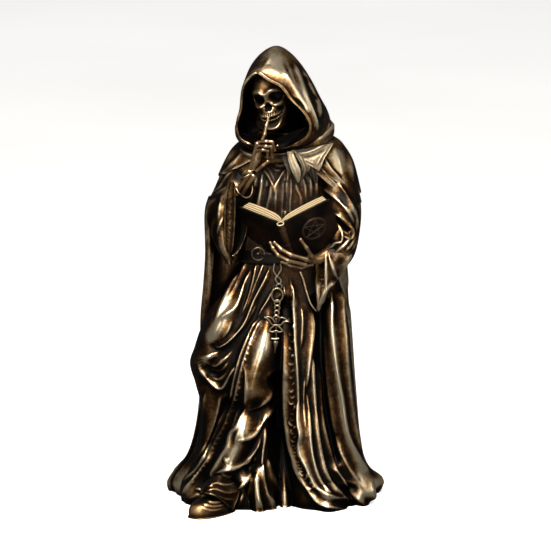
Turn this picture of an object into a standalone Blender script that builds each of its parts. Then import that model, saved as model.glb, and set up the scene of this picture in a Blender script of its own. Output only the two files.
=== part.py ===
"""Grim reaper figurine: a hooded skeleton with a finger at its teeth and an open book, cast in one piece.

Blender 4.5, metres, +Z up. The figure faces -Y and stands on the plane Z = 0.
The free forms are set out on a carver's grid that is a share of the figure's height: u runs to the
viewer's right of the figure's axis, v runs up the front elevation, y runs back into the figure.
"""

import math

import bmesh
import bpy
import numpy as np
from mathutils import Matrix, Vector
from mathutils.bvhtree import BVHTree

# Driving sizes of the whole casting
HEIGHT = 0.300
GRID_STEPS = 459
GRID = HEIGHT / GRID_STEPS
ELEVATION_TILT = math.radians(10)
VOXEL = 0.00105
TRIANGLES = 9500
SPECK_VOLUME = 1e-10

# Driving sizes of the fittings, in metres
HOOD_WALL = 0.0028
CAPE_THICKNESS = 0.0024
BOOK_HEIGHT = 0.0362
BOOK_WIDTH = 0.0355
BOOK_BOARD = 0.0016
BOOK_PAGES = 0.0062
BOOK_SQUARE = 0.0012
BOOK_SPINE = 0.0020
BELT_WIDTH = 0.0080
BELT_PROUD = 0.0016
BUCKLE_RADIUS = 0.0040
BUCKLE_WIRE = 0.0008
CHAIN_WIRE = 0.0008
RING_RADIUS = 0.0027
LINK_RADIUS = 0.0016
PENDANT_PLATE = 0.0022
FINGER_RADIUS = 0.0012
ARM_BONE_RADIUS = 0.0015
SOLE_THICKNESS = 0.0020
SHOE_WIDTH = 0.0165
CUFF_RADIUS = 0.0052

SIN_TILT = math.sin(ELEVATION_TILT)
COS_TILT = math.cos(ELEVATION_TILT)
TO_VIEWER = np.array([0.0, -COS_TILT, SIN_TILT])


# Carver's grid and smooth curves

def place(points):
    """Grid points (u, v, y) as model points in grid steps: v is read along the tilted elevation."""
    points = np.asarray(points, float)
    height = (points[..., 1] - points[..., 2] * SIN_TILT) / COS_TILT
    return np.stack([points[..., 0], points[..., 2], height], -1)


def elevation(points):
    """Model points in grid steps as they show on the front elevation (u, v)."""
    return np.stack([points[..., 0], points[..., 2] * COS_TILT + points[..., 1] * SIN_TILT], -1)


def spline(knots, count, closed=False):
    """A Catmull-Rom curve through the knots, as count rows."""
    knots = np.asarray(knots, float)
    total = len(knots)
    spans = total if closed else total - 1
    turn = np.arange(count) * spans / (count if closed else count - 1)
    first = np.minimum(turn.astype(int), spans - 1)
    part = (turn - first).reshape((-1,) + (1,) * (knots.ndim - 1))

    def knot(step):
        index = first + step
        return knots[index % total] if closed else knots[np.clip(index, 0, total - 1)]

    before, start, end, after = knot(-1), knot(0), knot(1), knot(2)
    cubic = 3 * (start - end) + after - before
    square = 2 * before - 5 * start + 4 * end - after
    return start + 0.5 * part * (end - before + part * (square + part * cubic))


def smooth_step(low, high, value):
    share = np.clip((value - low) / (high - low), 0.0, 1.0)
    return share * share * (3 - 2 * share)


# Surfaces as grids of points

def skin(net, rows, cols):
    """A smooth skin over a net of closed loops, each with the same number of points."""
    around = spline(np.asarray(net, float).transpose(1, 0, 2), cols, closed=True)
    return spline(around.transpose(1, 0, 2), rows)


def stations_at(stations, heights):
    """Left, right, front, back and squareness of a stack of stations, read at each height."""
    fine = spline(stations, 40 * len(stations))
    return [np.interp(heights, fine[:, 0], fine[:, k]) for k in range(1, 6)]


def oval(stations, heights, turn, proud=0.0):
    """Points of the stations' rounded ovals at each height and turn, stood proud by some steps."""
    left, right, front, back, power = stations_at(stations, heights)
    half_width = (right - left) / 2 + proud
    half_depth = (back - front) / 2 + proud
    across = np.abs(np.cos(turn) / half_width) ** power
    deep = np.abs(np.sin(turn) / half_depth) ** power
    reach = (across + deep) ** (-1 / power)
    x = (left + right) / 2 + reach * np.cos(turn)
    y = (front + back) / 2 + reach * np.sin(turn)
    return np.stack([x, y, np.broadcast_to(heights, x.shape)], -1)


def loft(stations, rows, cols, proud=0.0):
    heights = np.linspace(stations[0][0], stations[-1][0], rows)[:, None]
    turn = np.linspace(0, 2 * math.pi, cols, endpoint=False)[None, :]
    return oval(stations, heights + 0 * turn, turn + 0 * heights, proud)


def outward(grid):
    """Unit normals of a grid whose columns close on themselves."""
    across = np.roll(grid, -1, 1) - np.roll(grid, 1, 1)
    normal = np.cross(across, np.gradient(grid, axis=0))
    return normal / np.maximum(np.linalg.norm(normal, axis=-1, keepdims=True), 1e-9)


# Drapery as crests and swells drawn on the front elevation

STROKE_REACH = 5


def stroke_distance(points, path):
    """Distance of each elevation point from a path, and how far along the path it lies, from 0 to 1."""
    line = spline(path, 5 * len(path))
    start = line[:-1]
    span = line[1:] - start
    offset = points[:, None, :] - start[None]
    share = np.clip((offset * span).sum(-1) / np.maximum((span * span).sum(-1), 1e-9), 0, 1)
    gap = np.linalg.norm(offset - share[..., None] * span, axis=-1)
    near = gap.argmin(1)
    rows = np.arange(len(points))
    return gap[rows, near], (near + share[rows, near]) / len(span)


def carving(points, strokes, sharp=True):
    """Height of a set of strokes (path, height, width) over elevation points."""
    flat = points.reshape(-1, 2)
    raised = np.zeros(len(flat))
    sunk = np.zeros(len(flat))
    for path, height, width in strokes:
        corner = np.array(path, float)
        reach = STROKE_REACH * width
        inside = np.all((flat > corner.min(0) - reach) & (flat < corner.max(0) + reach), axis=1)
        if not inside.any():
            continue
        gap, share = stroke_distance(flat[inside], path)
        ease = 0.16 if sharp else 0.34
        fade = smooth_step(0.0, ease, share) * smooth_step(1.0, 1 - ease, share)
        if sharp:
            fall = np.exp((0.8 - np.sqrt(gap * gap + 0.64)) / width)
        else:
            fall = np.exp(-(gap / width) ** 2)
        lift = height * fade * fall
        if height < 0:
            sunk[inside] += lift
        elif sharp:
            raised[inside] += lift ** 3
        else:
            raised[inside] += lift
    if sharp:
        raised = np.cbrt(raised)
    return (raised + sunk).reshape(points.shape[:-1])


def drape(grid, folds, depth, hem_height):
    """Hanging folds on the sides and back, deepest at the hem."""
    centre = grid.mean(axis=1, keepdims=True)
    turn = np.arctan2(grid[..., 1] - centre[..., 1], grid[..., 0] - centre[..., 0])
    slant = 0.004 * (grid[..., 2] - hem_height) * (1 + 1.5 * np.sin(3 * turn))
    phase = folds * turn + 1.9 * np.sin(2 * turn + 0.7) + 0.7 * np.sin(5 * turn + 2) + slant
    crest = (0.5 + 0.5 * np.cos(phase)) ** 2.5
    second = (0.5 + 0.5 * np.cos(2.37 * phase + 1.9)) ** 3
    low = 1 - np.clip(grid[..., 2] / hem_height, 0, 1)
    normal = outward(grid)
    behind = smooth_step(0.35, -0.25, normal @ TO_VIEWER)
    size = depth * (0.35 + 0.65 * low ** 1.3) * (0.75 + 0.25 * np.sin(3.7 * turn + 1))
    rise = size * (crest + 0.35 * second - 0.45) * behind
    return grid + normal * rise[..., None]


def carve_front(grid, swells, crests):
    """Broad forms pushed towards the viewer, then sharp folds raised on them."""
    weight = smooth_step(0.02, 0.5, outward(grid) @ TO_VIEWER)
    swell = carving(elevation(grid), swells, sharp=False) * weight
    grid = grid - np.array([0.0, 1.0, 0.0]) * swell[..., None]
    normal = outward(grid)
    weight = smooth_step(0.0, 0.35, normal @ TO_VIEWER)
    return grid + normal * (carving(elevation(grid), crests) * weight)[..., None]


# Meshes

def grid_mesh(grid, ring_rows=False):
    """Closed mesh of a grid: its columns close, and its rows end in caps or close as well."""
    rows, cols = grid.shape[:2]
    index = np.arange(rows * cols).reshape(rows, cols)
    across = np.roll(index, -1, 1)
    if ring_rows:
        quads = np.stack([index, across, np.roll(across, -1, 0), np.roll(index, -1, 0)], -1)
        return grid.reshape(-1, 3), quads.reshape(-1, 4).tolist()
    quads = np.stack([index[:-1], across[:-1], across[1:], index[1:]], -1).reshape(-1, 4).tolist()
    points = np.concatenate([grid.reshape(-1, 3), grid[:1].mean(axis=1), grid[-1:].mean(axis=1)])
    low, high = rows * cols, rows * cols + 1
    caps = np.stack([across[0], index[0], np.full(cols, low)], -1).tolist()
    caps += np.stack([index[-1], across[-1], np.full(cols, high)], -1).tolist()
    return points, quads + caps


def bmesh_points(maker, matrix, **sizes):
    """Points and faces of one of Blender's own solids, placed by a matrix."""
    solid = bmesh.new()
    maker(solid, **sizes)
    bmesh.ops.transform(solid, matrix=matrix, verts=solid.verts)
    points = np.array([vert.co for vert in solid.verts])
    faces = [[vert.index for vert in face.verts] for face in solid.faces]
    solid.free()
    return points, faces


def ellipsoid(centre, radii):
    matrix = Matrix.Translation(centre) @ Matrix.Diagonal((*radii, 1))
    return bmesh_points(bmesh.ops.create_icosphere, matrix, subdivisions=3, radius=1.0)


def rod(points, radii, closed=False, cuts=4, resolution=3):
    """A round rod along grid points, swelling and thinning with its radii."""
    radii = np.broadcast_to(np.asarray(radii, float), len(points))
    knots = np.concatenate([place(points), radii[:, None]], 1)
    count = len(knots) * cuts
    fine = spline(knots, count, closed) if len(knots) > 2 or closed else knots
    curve = bpy.data.curves.new("rod", "CURVE")
    curve.dimensions = "3D"
    curve.bevel_depth = 1.0
    curve.bevel_resolution = resolution
    curve.use_fill_caps = not closed
    path = curve.splines.new("POLY")
    path.points.add(len(fine) - 1)
    path.use_cyclic_u = closed
    for point, row in zip(path.points, fine):
        point.co = (*row[:3], 1)
        point.radius = row[3]
    guide = bpy.data.objects.new("rod", curve)
    bpy.context.scene.collection.objects.link(guide)
    mesh = bpy.data.meshes.new_from_object(guide.evaluated_get(bpy.context.evaluated_depsgraph_get()))
    bpy.data.objects.remove(guide)
    bpy.data.curves.remove(curve)
    solid = bmesh.new()
    solid.from_mesh(mesh)
    bmesh.ops.remove_doubles(solid, verts=solid.verts, dist=1e-4)
    bmesh.ops.recalc_face_normals(solid, faces=solid.faces)
    rod_points = np.array([vert.co for vert in solid.verts])
    faces = [[vert.index for vert in face.verts] for face in solid.faces]
    solid.free()
    bpy.data.meshes.remove(mesh)
    return rod_points, faces


def tube(points, radii, cols=36, rows=40):
    """Rings of the given radii about grid points, all facing along the run to the farthest of them."""
    radii = np.broadcast_to(np.asarray(radii, float), len(points))
    knots = np.concatenate([place(points), radii[:, None]], 1)
    far = knots[np.linalg.norm(knots[:, :3] - knots[0, :3], axis=1).argmax(), :3]
    along = Vector(far - knots[0, :3]).normalized()
    side = along.orthogonal().normalized()
    lift = along.cross(side)
    turn = np.linspace(0, 2 * math.pi, cols, endpoint=False)
    circle = np.outer(np.cos(turn), side) + np.outer(np.sin(turn), lift)
    fine = spline(knots, rows)
    return fine[:, None, :3] + circle[None] * fine[:, None, 3:]


def front_of(solids):
    """A reader of the depth y at which the front elevation meets the solids."""
    points = []
    faces = []
    for solid_points, solid_faces in solids:
        faces += [[index + len(points) for index in face] for face in solid_faces]
        points += solid_points.tolist()
    tree = BVHTree.FromPolygons(points, faces)
    into = Vector((0, COS_TILT, -SIN_TILT))

    def depth(u, v):
        far = Vector(place([u, v, 0.0])) - into * 400
        hit = tree.ray_cast(far, into)[0]
        return hit.y if hit else 0.0

    return depth


# Robe and body

BODY = [
    (0, -95, 92, -60, 44, 2.5),
    (14, -98, 98, -60, 44, 2.5),
    (30, -90, 90, -59, 42, 2.5),
    (50, -82, 84.5, -58, 40, 2.5),
    (76, -78.5, 81, -57, 38, 2.4),
    (100, -77, 78, -56, 36, 2.4),
    (122, -82, 76, -56, 34, 2.4),
    (142, -87.5, 74, -56, 32, 2.4),
    (158, -83, 72.5, -54, 30, 2.4),
    (176, -77, 71, -50, 28, 2.3),
    (196, -68, 68, -46, 26, 2.3),
    (216, -56, 64, -41, 24, 2.3),
    (236, -44, 58, -36, 22, 2.3),
    (250, -38, 50, -33, 22, 2.2),
    (264, -38, 48, -32, 22, 2.2),
    (290, -40, 52, -31, 24, 2.2),
    (320, -42, 56, -29, 25, 2.2),
    (345, -36, 50, -23, 22, 2.1),
    (364, -18, 28, -12, 16, 2.0),
]

BODY_SWELLS = [
    ([(-34, 218), (-52, 192), (-68, 166), (-76, 148)], 13, 15),
    ([(-64, 155), (-72, 144), (-66, 136)], 8, 12),
    ([(-6, 200), (-14, 160), (-22, 135), (-28, 108), (-32, 88)], 15, 14),
    ([(-28, 102), (-34, 76), (-46, 48), (-58, 26), (-66, 8)], 20, 13),
    ([(-38, 40), (-28, 10), (-16, -40)], 9, 13),
    ([(8, 210), (2, 120), (6, 60), (14, 10), (20, -60)], -10, 8),
    ([(41, 210), (42, 160), (45, 100), (58, 30)], -7, 6),
    ([(-72, 120), (-76, 60), (-94, 10), (-108, -30)], 6, 12),
    ([(60, 200), (68, 100), (80, 44), (88, 8), (102, -60)], 7, 12),
    ([(22, 100), (30, 50), (44, 10), (58, -40)], 10, 13),
    ([(-2, 60), (0, 20), (1, -10), (4, -70)], -18, 8),
]

BODY_CRESTS = [
    ([(-39.2, 240.4), (-59.6, 214), (-67, 197.6), (-73, 175)], 3.5, 4),
    ([(-35, 231), (-47.4, 210), (-56, 192), (-64.7, 174)], 4.0, 4.5),
    ([(-27, 228), (-34, 213), (-42.3, 193.5), (-59.6, 179), (-72, 160)], 4.5, 4),
    ([(-21, 235.3), (-25, 218), (-30, 200)], 2.5, 3),
    ([(-13.7, 233.3), (-23, 218)], 2.5, 3),
    ([(-7.6, 232), (-14.7, 216), (-23, 200), (-31.5, 180), (-39, 169.3), (-49, 159.3), (-65, 155)], 5, 4),
    ([(-4, 215), (-13, 197), (-22, 178)], 3.5, 6),
    ([(6.7, 214), (9.8, 193.5), (11.8, 170)], 3, 4),
    ([(-56, 149.4), (-71.3, 143.3)], 2.5, 3),
    ([(-45.2, 150), (-54.4, 140), (-63, 135), (-72, 139.4)], 3.5, 3),
    ([(-79, 138), (-68.2, 123.4), (-60, 114), (-53, 115), (-47, 125), (-41.4, 134), (-35, 146)], 5.5, 3.5),
    ([(-18.5, 182), (-30.7, 157), (-36.4, 142.5), (-40.7, 126.4), (-45.2, 107.3), (-50.4, 90),
      (-59.4, 70), (-67, 53.3), (-81, 29.5), (-110, 8)], 5.5, 4),
    ([(-56.4, 66.3), (-67, 44), (-77, 29.5), (-84, 20), (-102, 0)], 3.5, 3),
    ([(-11.6, 176), (-14, 165), (-20, 148), (-25.3, 124)], 3.0, 5),
    ([(-31.5, 123.4), (-32, 100), (-40.7, 73), (-49.5, 54), (-60.2, 36), (-65, 18)], 3.5, 2.6),
    ([(1, 126), (-6.2, 113), (-14, 100), (-21.5, 93.5), (-32, 91)], 4.5, 3.5),
    ([(-5, 99), (-13.7, 82), (-22, 70), (-30.3, 63), (-45, 59)], 4.5, 3.5),
    ([(-15, 66), (-25, 49.4), (-32, 41), (-40.3, 36), (-52.5, 31), (-67, 26)], 4.5, 3.5),
    ([(-20, 47), (-29, 26.5), (-36.5, 15), (-43, 10), (-52, 11), (-64, 22)], 4.5, 3.5),
    ([(-14.3, 58), (-16, 36.4), (-16, 23), (-12, 7.3), (-8, -30)], 4.5, 3.2),
    ([(-24.2, 30), (-26, 10), (-31, -30)], 4, 3.2),
    ([(2, 112), (-1, 88), (-2.6, 60), (-2, 36.4), (2, 10), (5, -30)], 4.5, 3.2),
    ([(5.4, 214), (8.5, 177), (8.5, 90), (12.7, 56), (19.5, 35), (28, 16), (40, 0),
      (58, -22)], 6, 3.2),
    ([(15, 214), (17.3, 156.4), (20, 90), (21.5, 60), (28.7, 34), (39.4, 12), (51, 2),
      (74, -24)], 4.5, 3),
    ([(23.4, 192), (24, 172), (22.6, 150)], 3, 3.5),
    ([(33.7, 190), (34, 164), (31.8, 149), (29.5, 126), (28, 106)], 4, 3.5),
    ([(31, 74), (31.8, 50), (35.6, 33), (41.7, 20), (62, -10)], 4, 3),
    ([(36.4, 105), (38, 69.4), (41, 50), (45.6, 31), (52.5, 17), (74, -12)], 4.5, 3.2),
    ([(43, 82), (48.6, 54), (54.8, 35), (64.7, 20), (88, -12)], 4, 3.2),
    ([(52.8, 210), (53, 179.4), (56.7, 141), (63.2, 99), (68.5, 66), (81.5, 35), (90, 20),
      (100, -20)], 6, 4),
    ([(63, 220), (64, 187), (67.8, 133.5), (74, 80), (88, 35), (106, 0)], 4, 3.5),
    ([(-9, 323), (-5, 316), (2, 325)], 1.6, 2),
    ([(8.7, 322), (7, 289)], 2.0, 2),
    ([(-6.5, 314), (-12, 292)], 1.4, 2),
    ([(-16.4, 315), (-19.5, 296)], 1.4, 2),
]


def body():
    grid = carve_front(loft(BODY, 150, 150), BODY_SWELLS, BODY_CRESTS)
    return grid_mesh(drape(grid, 9, 5.0, 300))


# Cloak that hangs behind, from shoulders to floor

CLOAK = [
    (0, -103, 96, -22, 68, 2.5),
    (12, -107, 104, -16, 72, 2.5),
    (26, -98, 91, -12, 68, 2.5),
    (40, -88, 84.5, -11, 64, 2.4),
    (60, -81, 81, -10, 60, 2.4),
    (90, -76, 78, -8, 56, 2.4),
    (130, -74, 74.5, -6, 52, 2.4),
    (180, -76, 71.5, -6, 48, 2.4),
    (240, -71.5, 69, -5, 45, 2.4),
    (290, -70, 74, -5, 43, 2.3),
    (316, -58, 72, -7, 41, 2.3),
    (342, -48, 68, -10, 37, 2.2),
    (358, -36, 58, -10, 32, 2.2),
    (368, -20, 42, -8, 26, 2.0),
]
CLOAK_EDGE = [
    (140, -77, -68, 0, 30, 3),
    (176, -77, -67, -8, 30, 3),
    (210, -75.5, -66, -14, 28, 3),
    (250, -73, -64, -18, 26, 3),
    (290, -73.5, -63, -19, 24, 3),
    (306, -70, -60, -14, 20, 3),
]


def cloak():
    return [grid_mesh(drape(loft(CLOAK, 120, 130), 12, 8.0, 330)), grid_mesh(loft(CLOAK_EDGE, 40, 40))]


# Sleeves

RAISED_SLEEVE = [
    (250, -53, -44, -43, -24, 2.2),
    (262, -62, -38, -46, -4, 2.2),
    (280, -69, -32, -47, 12, 2.2),
    (296, -70.5, -29, -47, 16, 2.2),
    (307, -67, -27, -44, 18, 2.2),
    (320, -59, -25, -38, 20, 2.2),
    (336, -51, -22, -28, 20, 2.2),
    (350, -42, -18, -16, 14, 2.2),
]
RAISED_SLEEVE_SWELLS = [
    ([(-37, 308), (-37, 278), (-42, 250)], -16, 5.5),
    ([(-31, 288), (-33, 268), (-39, 250)], 5, 4),
]
RAISED_SLEEVE_CRESTS = [
    ([(-49, 314), (-52.8, 299), (-52.8, 268), (-53.5, 254), (-46, 243)], 3, 2.6),
    ([(-43.5, 318), (-42.8, 291), (-42.8, 276), (-44.7, 260.5), (-47, 244)], 4, 2.2),
    ([(-30, 280), (-31.7, 268), (-35.6, 257), (-42, 245)], 3, 2.2),
    ([(-59, 304), (-65.5, 294), (-68, 280), (-68, 264)], 3, 3),
    ([(-55, 307), (-58.5, 294), (-59, 284)], 2.5, 3),
    ([(-54, 283), (-58, 274), (-61, 264)], 2, 3),
]

BOOK_SLEEVE = [
    (236, 50, 62, -40, -8, 2.2),
    (246, 44, 72, -46, 4, 2.2),
    (256, 43, 77.5, -48, 12, 2.2),
    (272, 45, 81, -48, 18, 2.2),
    (292, 47, 83, -45, 22, 2.2),
    (310, 46, 81.5, -40, 24, 2.2),
    (328, 42, 76, -33, 24, 2.2),
    (346, 36, 69, -22, 22, 2.2),
    (360, 26, 60, -10, 16, 2.2),
]
BOOK_SLEEVE_SWELLS = [([(63, 276), (69, 270)], -12, 6), ([(68, 300), (74, 286), (74, 272)], 4, 6)]
BOOK_SLEEVE_CRESTS = [
    ([(51, 304), (65, 293), (73, 283.5), (77, 274)], 4, 4),
    ([(56, 285), (66.7, 279.5), (73, 272), (72.5, 263), (64, 265)], 4, 2.6),
    ([(60, 272), (64, 261), (58, 257), (50, 251), (35, 245)], 4.5, 2.8),
    ([(72, 268), (66, 254), (54, 247)], 3, 3),
]

HANGING_SLEEVE = [
    (199, 38, 40.5, -46, -41, 2.2),
    (211, 38, 46, -50, -34, 2.2),
    (223, 38, 52, -52, -26, 2.2),
    (234, 38.5, 60, -52, -18, 2.2),
    (247, 38, 69, -52, -10, 2.2),
    (258, 37, 73, -50, -6, 2.2),
    (268, 42, 71, -44, -4, 2.2),
]
HANGING_SLEEVE_CRESTS = [
    ([(38, 248), (39, 232), (40, 210.5), (39.5, 188)], 3, 2.4),
    ([(47.6, 249), (47.6, 230), (47, 210), (42, 196)], 3, 2.4),
    ([(49, 249), (53, 235.4), (59, 221)], 3, 2.6),
    ([(74, 251), (68, 238), (57.6, 220.4), (48, 211), (41, 194)], 3.5, 2.6),
]


def sleeves():
    raised = carve_front(loft(RAISED_SLEEVE, 70, 90), RAISED_SLEEVE_SWELLS, RAISED_SLEEVE_CRESTS)
    bent = carve_front(loft(BOOK_SLEEVE, 70, 90), BOOK_SLEEVE_SWELLS, BOOK_SLEEVE_CRESTS)
    hanging = carve_front(loft(HANGING_SLEEVE, 50, 70), [], HANGING_SLEEVE_CRESTS)
    mouth = CUFF_RADIUS / GRID
    cuff = tube([(-54, 278, -24), (-46, 292, -34), (-40, 301, -41), (-33.5, 310, -48), (-34.5, 308.5, -47),
                 (-40, 301, -41)],
                [1.5 * mouth, 1.25 * mouth, 1.05 * mouth, mouth, 0.76 * mouth, 0.66 * mouth])
    return [grid_mesh(raised), grid_mesh(bent), grid_mesh(hanging), grid_mesh(cuff)]


# Capes over the shoulders, with torn and pointed lower edges

SHOULDERS = [
    (285, -74, 85, -50, 50, 2.3),
    (300, -71, 84, -48, 49, 2.3),
    (315, -64, 80.5, -45, 47, 2.3),
    (330, -57.5, 77, -41, 45, 2.3),
    (345, -50.5, 72.5, -37, 42, 2.2),
    (357, -43, 65.5, -32, 38, 2.2),
    (366, -32, 57, -25, 33, 2.1),
    (376, -14, 36, -14, 26, 2.0),
]
CAPE_TOP = 374
LONG_CAPE_EDGE = [(0, 302), (20, 297), (30, 303), (44, 293), (66, 297), (74, 289), (96, 292), (104, 299),
                  (120, 291), (134, 297), (150, 290), (160, 300), (172, 297),
                  (186, 311), (203, 322), (218, 338),
                  (236, 350), (256, 362), (290, 362), (300, 343), (310, 334), (325, 319), (342, 308)]
SHORT_CAPE_EDGE = [(0, 313), (22, 320), (36, 316), (60, 322), (70, 316), (88, 324), (108, 319), (118, 326),
                   (140, 320), (152, 327), (164, 324), (180, 332),
                   (198, 333), (218, 347), (238, 357), (254, 364),
                   (292, 364), (303, 352), (312, 338), (326, 326), (345, 313)]
FLAP = [[(15, 349, -44), (28, 350, -44), (42, 353, -43), (55, 355.5, -38)],
        [(18, 343, -46), (28, 342, -48), (39, 344, -48), (50, 348, -43)],
        [(24, 338, -48), (31, 336, -50), (38, 337, -50), (45, 340, -46)],
        [(34, 332, -50), (38, 330.5, -51), (40, 329, -51), (41.5, 332, -50)]]


def cape(edge, proud, rows, cols):
    """A cape that turns under at its edge and runs back up inside itself."""
    thickness = CAPE_THICKNESS / GRID
    turn = np.linspace(0, 2 * math.pi, cols, endpoint=False)[None, :]
    angles = [math.radians(angle) for angle, _ in edge]
    low = np.interp(turn, angles, [height for _, height in edge], period=2 * math.pi)
    share = np.linspace(0, 1, rows)[:, None]
    outer = oval(SHOULDERS, CAPE_TOP + (low - CAPE_TOP) * share, turn + 0 * share, proud)
    inner = oval(SHOULDERS, CAPE_TOP + (low + 1 - CAPE_TOP) * share, turn + 0 * share, proud - thickness)
    return grid_mesh(np.concatenate([inner, outer[::-1]]), ring_rows=True)


def plate(net, rows, cols, thickness):
    """A smooth plate over an open net of grid points, thickened backwards."""
    across = spline(np.asarray(net, float).transpose(1, 0, 2), cols)
    front = place(spline(across.transpose(1, 0, 2), rows))
    back = front + np.array([0.0, thickness, 0.0])
    return grid_mesh(np.concatenate([front, back[:, ::-1]], axis=1))


def capes():
    long_cape = cape(LONG_CAPE_EDGE, 0.0, 26, 160)
    short_cape = cape(SHORT_CAPE_EDGE, 2.2, 26, 160)
    return [long_cape, short_cape, plate(FLAP, 14, 16, CAPE_THICKNESS / GRID)]


# Hood: a peaked cowl, open towards the viewer's left, with the skull deep inside

HOOD_RIM = [(-19.5, 424, -50), (3, 411, -54), (22, 390, -56), (30, 373, -55), (22, 358, -52),
            (0, 350, -46), (-22, 354, -40), (-39, 365, -36), (-39, 387, -38), (-32, 414, -44)]
HOOD_FRONT = [(-16, 432, -42), (10, 423, -43), (32, 397, -44), (41, 374, -43), (31, 355, -42),
              (0, 344, -36), (-27, 349, -31), (-42, 363, -27), (-38.5, 388, -28), (-32, 421, -34)]
HOOD_MIDDLE = [(-2, 452.5, -8), (23, 434, -6), (42, 402, -4), (52, 380, -4), (46, 359, -8),
               (4, 340, -8), (-30, 348, -6), (-37, 367, -2), (-34.5, 396, -2), (-25, 434, -5)]
HOOD_BACK = [(6, 440, 30), (21, 426, 33), (35, 402, 36), (42, 378, 37), (37, 358, 34),
             (6, 342, 30), (-20, 350, 30), (-28, 370, 32), (-25, 396, 34), (-14, 425, 32)]
HOOD_END = [(8, 408, 50), (14, 402, 51), (19, 392, 52), (21, 380, 52), (18, 370, 50),
            (7, 364, 48), (-4, 368, 49), (-7, 380, 50), (-6, 392, 51), (0, 402, 51)]
COWL = [(19, 344, -38), (34, 353, -28), (43, 368, -6), (37, 372, 20), (20, 368, 34), (-2, 362, 36),
        (-22, 356, 24), (-30, 352, 2), (-27, 345, -22), (-8, 341, -36)]
COWL_RADII = [7, 10, 13, 14, 14, 14, 12, 10, 7, 6]
HOOD_FOLDS = [
    ([(-1, 448), (18, 420), (28, 397), (38, 375)], 1.6, 3),
    ([(6, 446), (26, 418), (39, 390), (40, 370)], 1.6, 3),
    ([(14, 440), (35, 408), (47, 384)], 1.5, 3),
]


def hood():
    wall = HOOD_WALL / GRID
    rim = np.array(HOOD_RIM, float)
    middle = rim.mean(axis=0)

    def inside(inset, back):
        reach = np.linalg.norm((rim - middle)[:, :2], axis=1).mean()
        loop = middle + (rim - middle) * (1 - inset / reach)
        loop[:, 2] += back
        return loop.tolist()

    net = [HOOD_END, HOOD_BACK, HOOD_MIDDLE, HOOD_FRONT, HOOD_RIM,
           inside(wall, 3), inside(wall, 18), inside(2 * wall, 40), inside(5 * wall, 52)]
    grid = place(skin(net, 90, 80))
    grid = carve_front(grid[::-1], [], HOOD_FOLDS)
    return [grid_mesh(grid), rod(COWL, COWL_RADII, closed=True)]


# Skull, modelled about the root of its nose and then turned into the hood

SKULL_ROOT = (-12, 401.5, -36)
SKULL_TURN = (math.radians(6), math.radians(-11), math.radians(-18))
SKULL = [
    (-36, -4, 4, 4, 10, 2.0),
    (-33, -8, 8, 0, 14, 2.2),
    (-28, -10.5, 10.5, 0.5, 20, 2.2),
    (-23, -12.5, 12.5, -1, 24, 2.2),
    (-18, -14, 14, -2, 28, 2.2),
    (-13, -15.5, 15.5, -1, 34, 2.2),
    (-8, -17.5, 17.5, 0, 40, 2.3),
    (-3, -18.5, 18.5, -0.5, 44, 2.3),
    (4, -18.5, 18.5, -2, 46, 2.3),
    (11, -19, 19, -0.5, 47, 2.2),
    (20, -17, 17, 4, 45, 2.1),
    (27, -11, 11, 12, 38, 2.0),
    (30.5, -3, 3, 22, 28, 2.0),
]
SKULL_SWELLS = [
    ([(-17, 0), (-13.5, 5), (-7, 6), (-2, 3), (2, 3), (7, 6), (13.5, 5), (17, 0)], 3.2, 2.6),
    ([(0, 3), (0, -3), (0, -8)], 3.2, 1.8),
    ([(-3.5, -9), (-8, -9.5), (-13.5, -9.5), (-19, -6)], 3.6, 2.2),
    ([(3.5, -9), (8, -9.5), (13.5, -9.5), (19, -6)], 3.6, 2.2),
    ([(-8, -16), (-4, -15), (4, -15), (8, -16)], 3.0, 3.4),
    ([(-13, -17), (-6, -19), (0, -19.6), (6, -19), (13, -17)], 3.4, 1.7),
    ([(-12, -20.5), (-6, -23.4), (0, -24.2), (6, -23.4), (12, -20.5)], 3.2, 1.6),
    ([(-15, -16), (-12.5, -25), (-6, -31.5), (0, -33), (6, -31.5), (12.5, -25), (15, -16)], 3.4, 2.6),
    ([(-14.5, -19), (-10.5, -15), (-8.5, -12)], -6.5, 2.8),
    ([(14.5, -19), (10.5, -15), (8.5, -12)], -6.5, 2.8),
    ([(-13, -18.5), (-6, -21.2), (0, -21.9), (6, -21.2), (13, -18.5)], -2.6, 0.8),
]
SKULL_PITS = [
    ((-8.8, -2.2), (6.2, 5.6), 11),
    ((8.8, -2.2), (6.2, 5.6), 11),
    ((-1.7, -11.6), (2.3, 3.0), 6),
    ((1.7, -11.6), (2.3, 3.0), 6),
    ((0, -9.4), (2.2, 3.2), 5),
]


def skull():
    grid = loft(SKULL, 90, 110)
    local = grid[..., [0, 2]]
    facing = smooth_step(0.05, 0.5, -outward(grid)[..., 1])
    push = carving(local, SKULL_SWELLS, sharp=False)
    for centre, radii, depth in SKULL_PITS:
        reach = np.linalg.norm((local - np.array(centre)) / np.array(radii), axis=-1)
        push = push - depth * smooth_step(1.15, 0.6, reach)
    grid[..., 1] -= push * facing
    turn = Matrix.Rotation(SKULL_TURN[2], 4, "Z") @ Matrix.Rotation(SKULL_TURN[1], 4, "Y")
    turn = turn @ Matrix.Rotation(SKULL_TURN[0], 4, "X")
    grid = grid @ np.array(turn.to_3x3()).T + place(SKULL_ROOT)
    return [grid_mesh(grid)]


# Hands of bone

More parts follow.
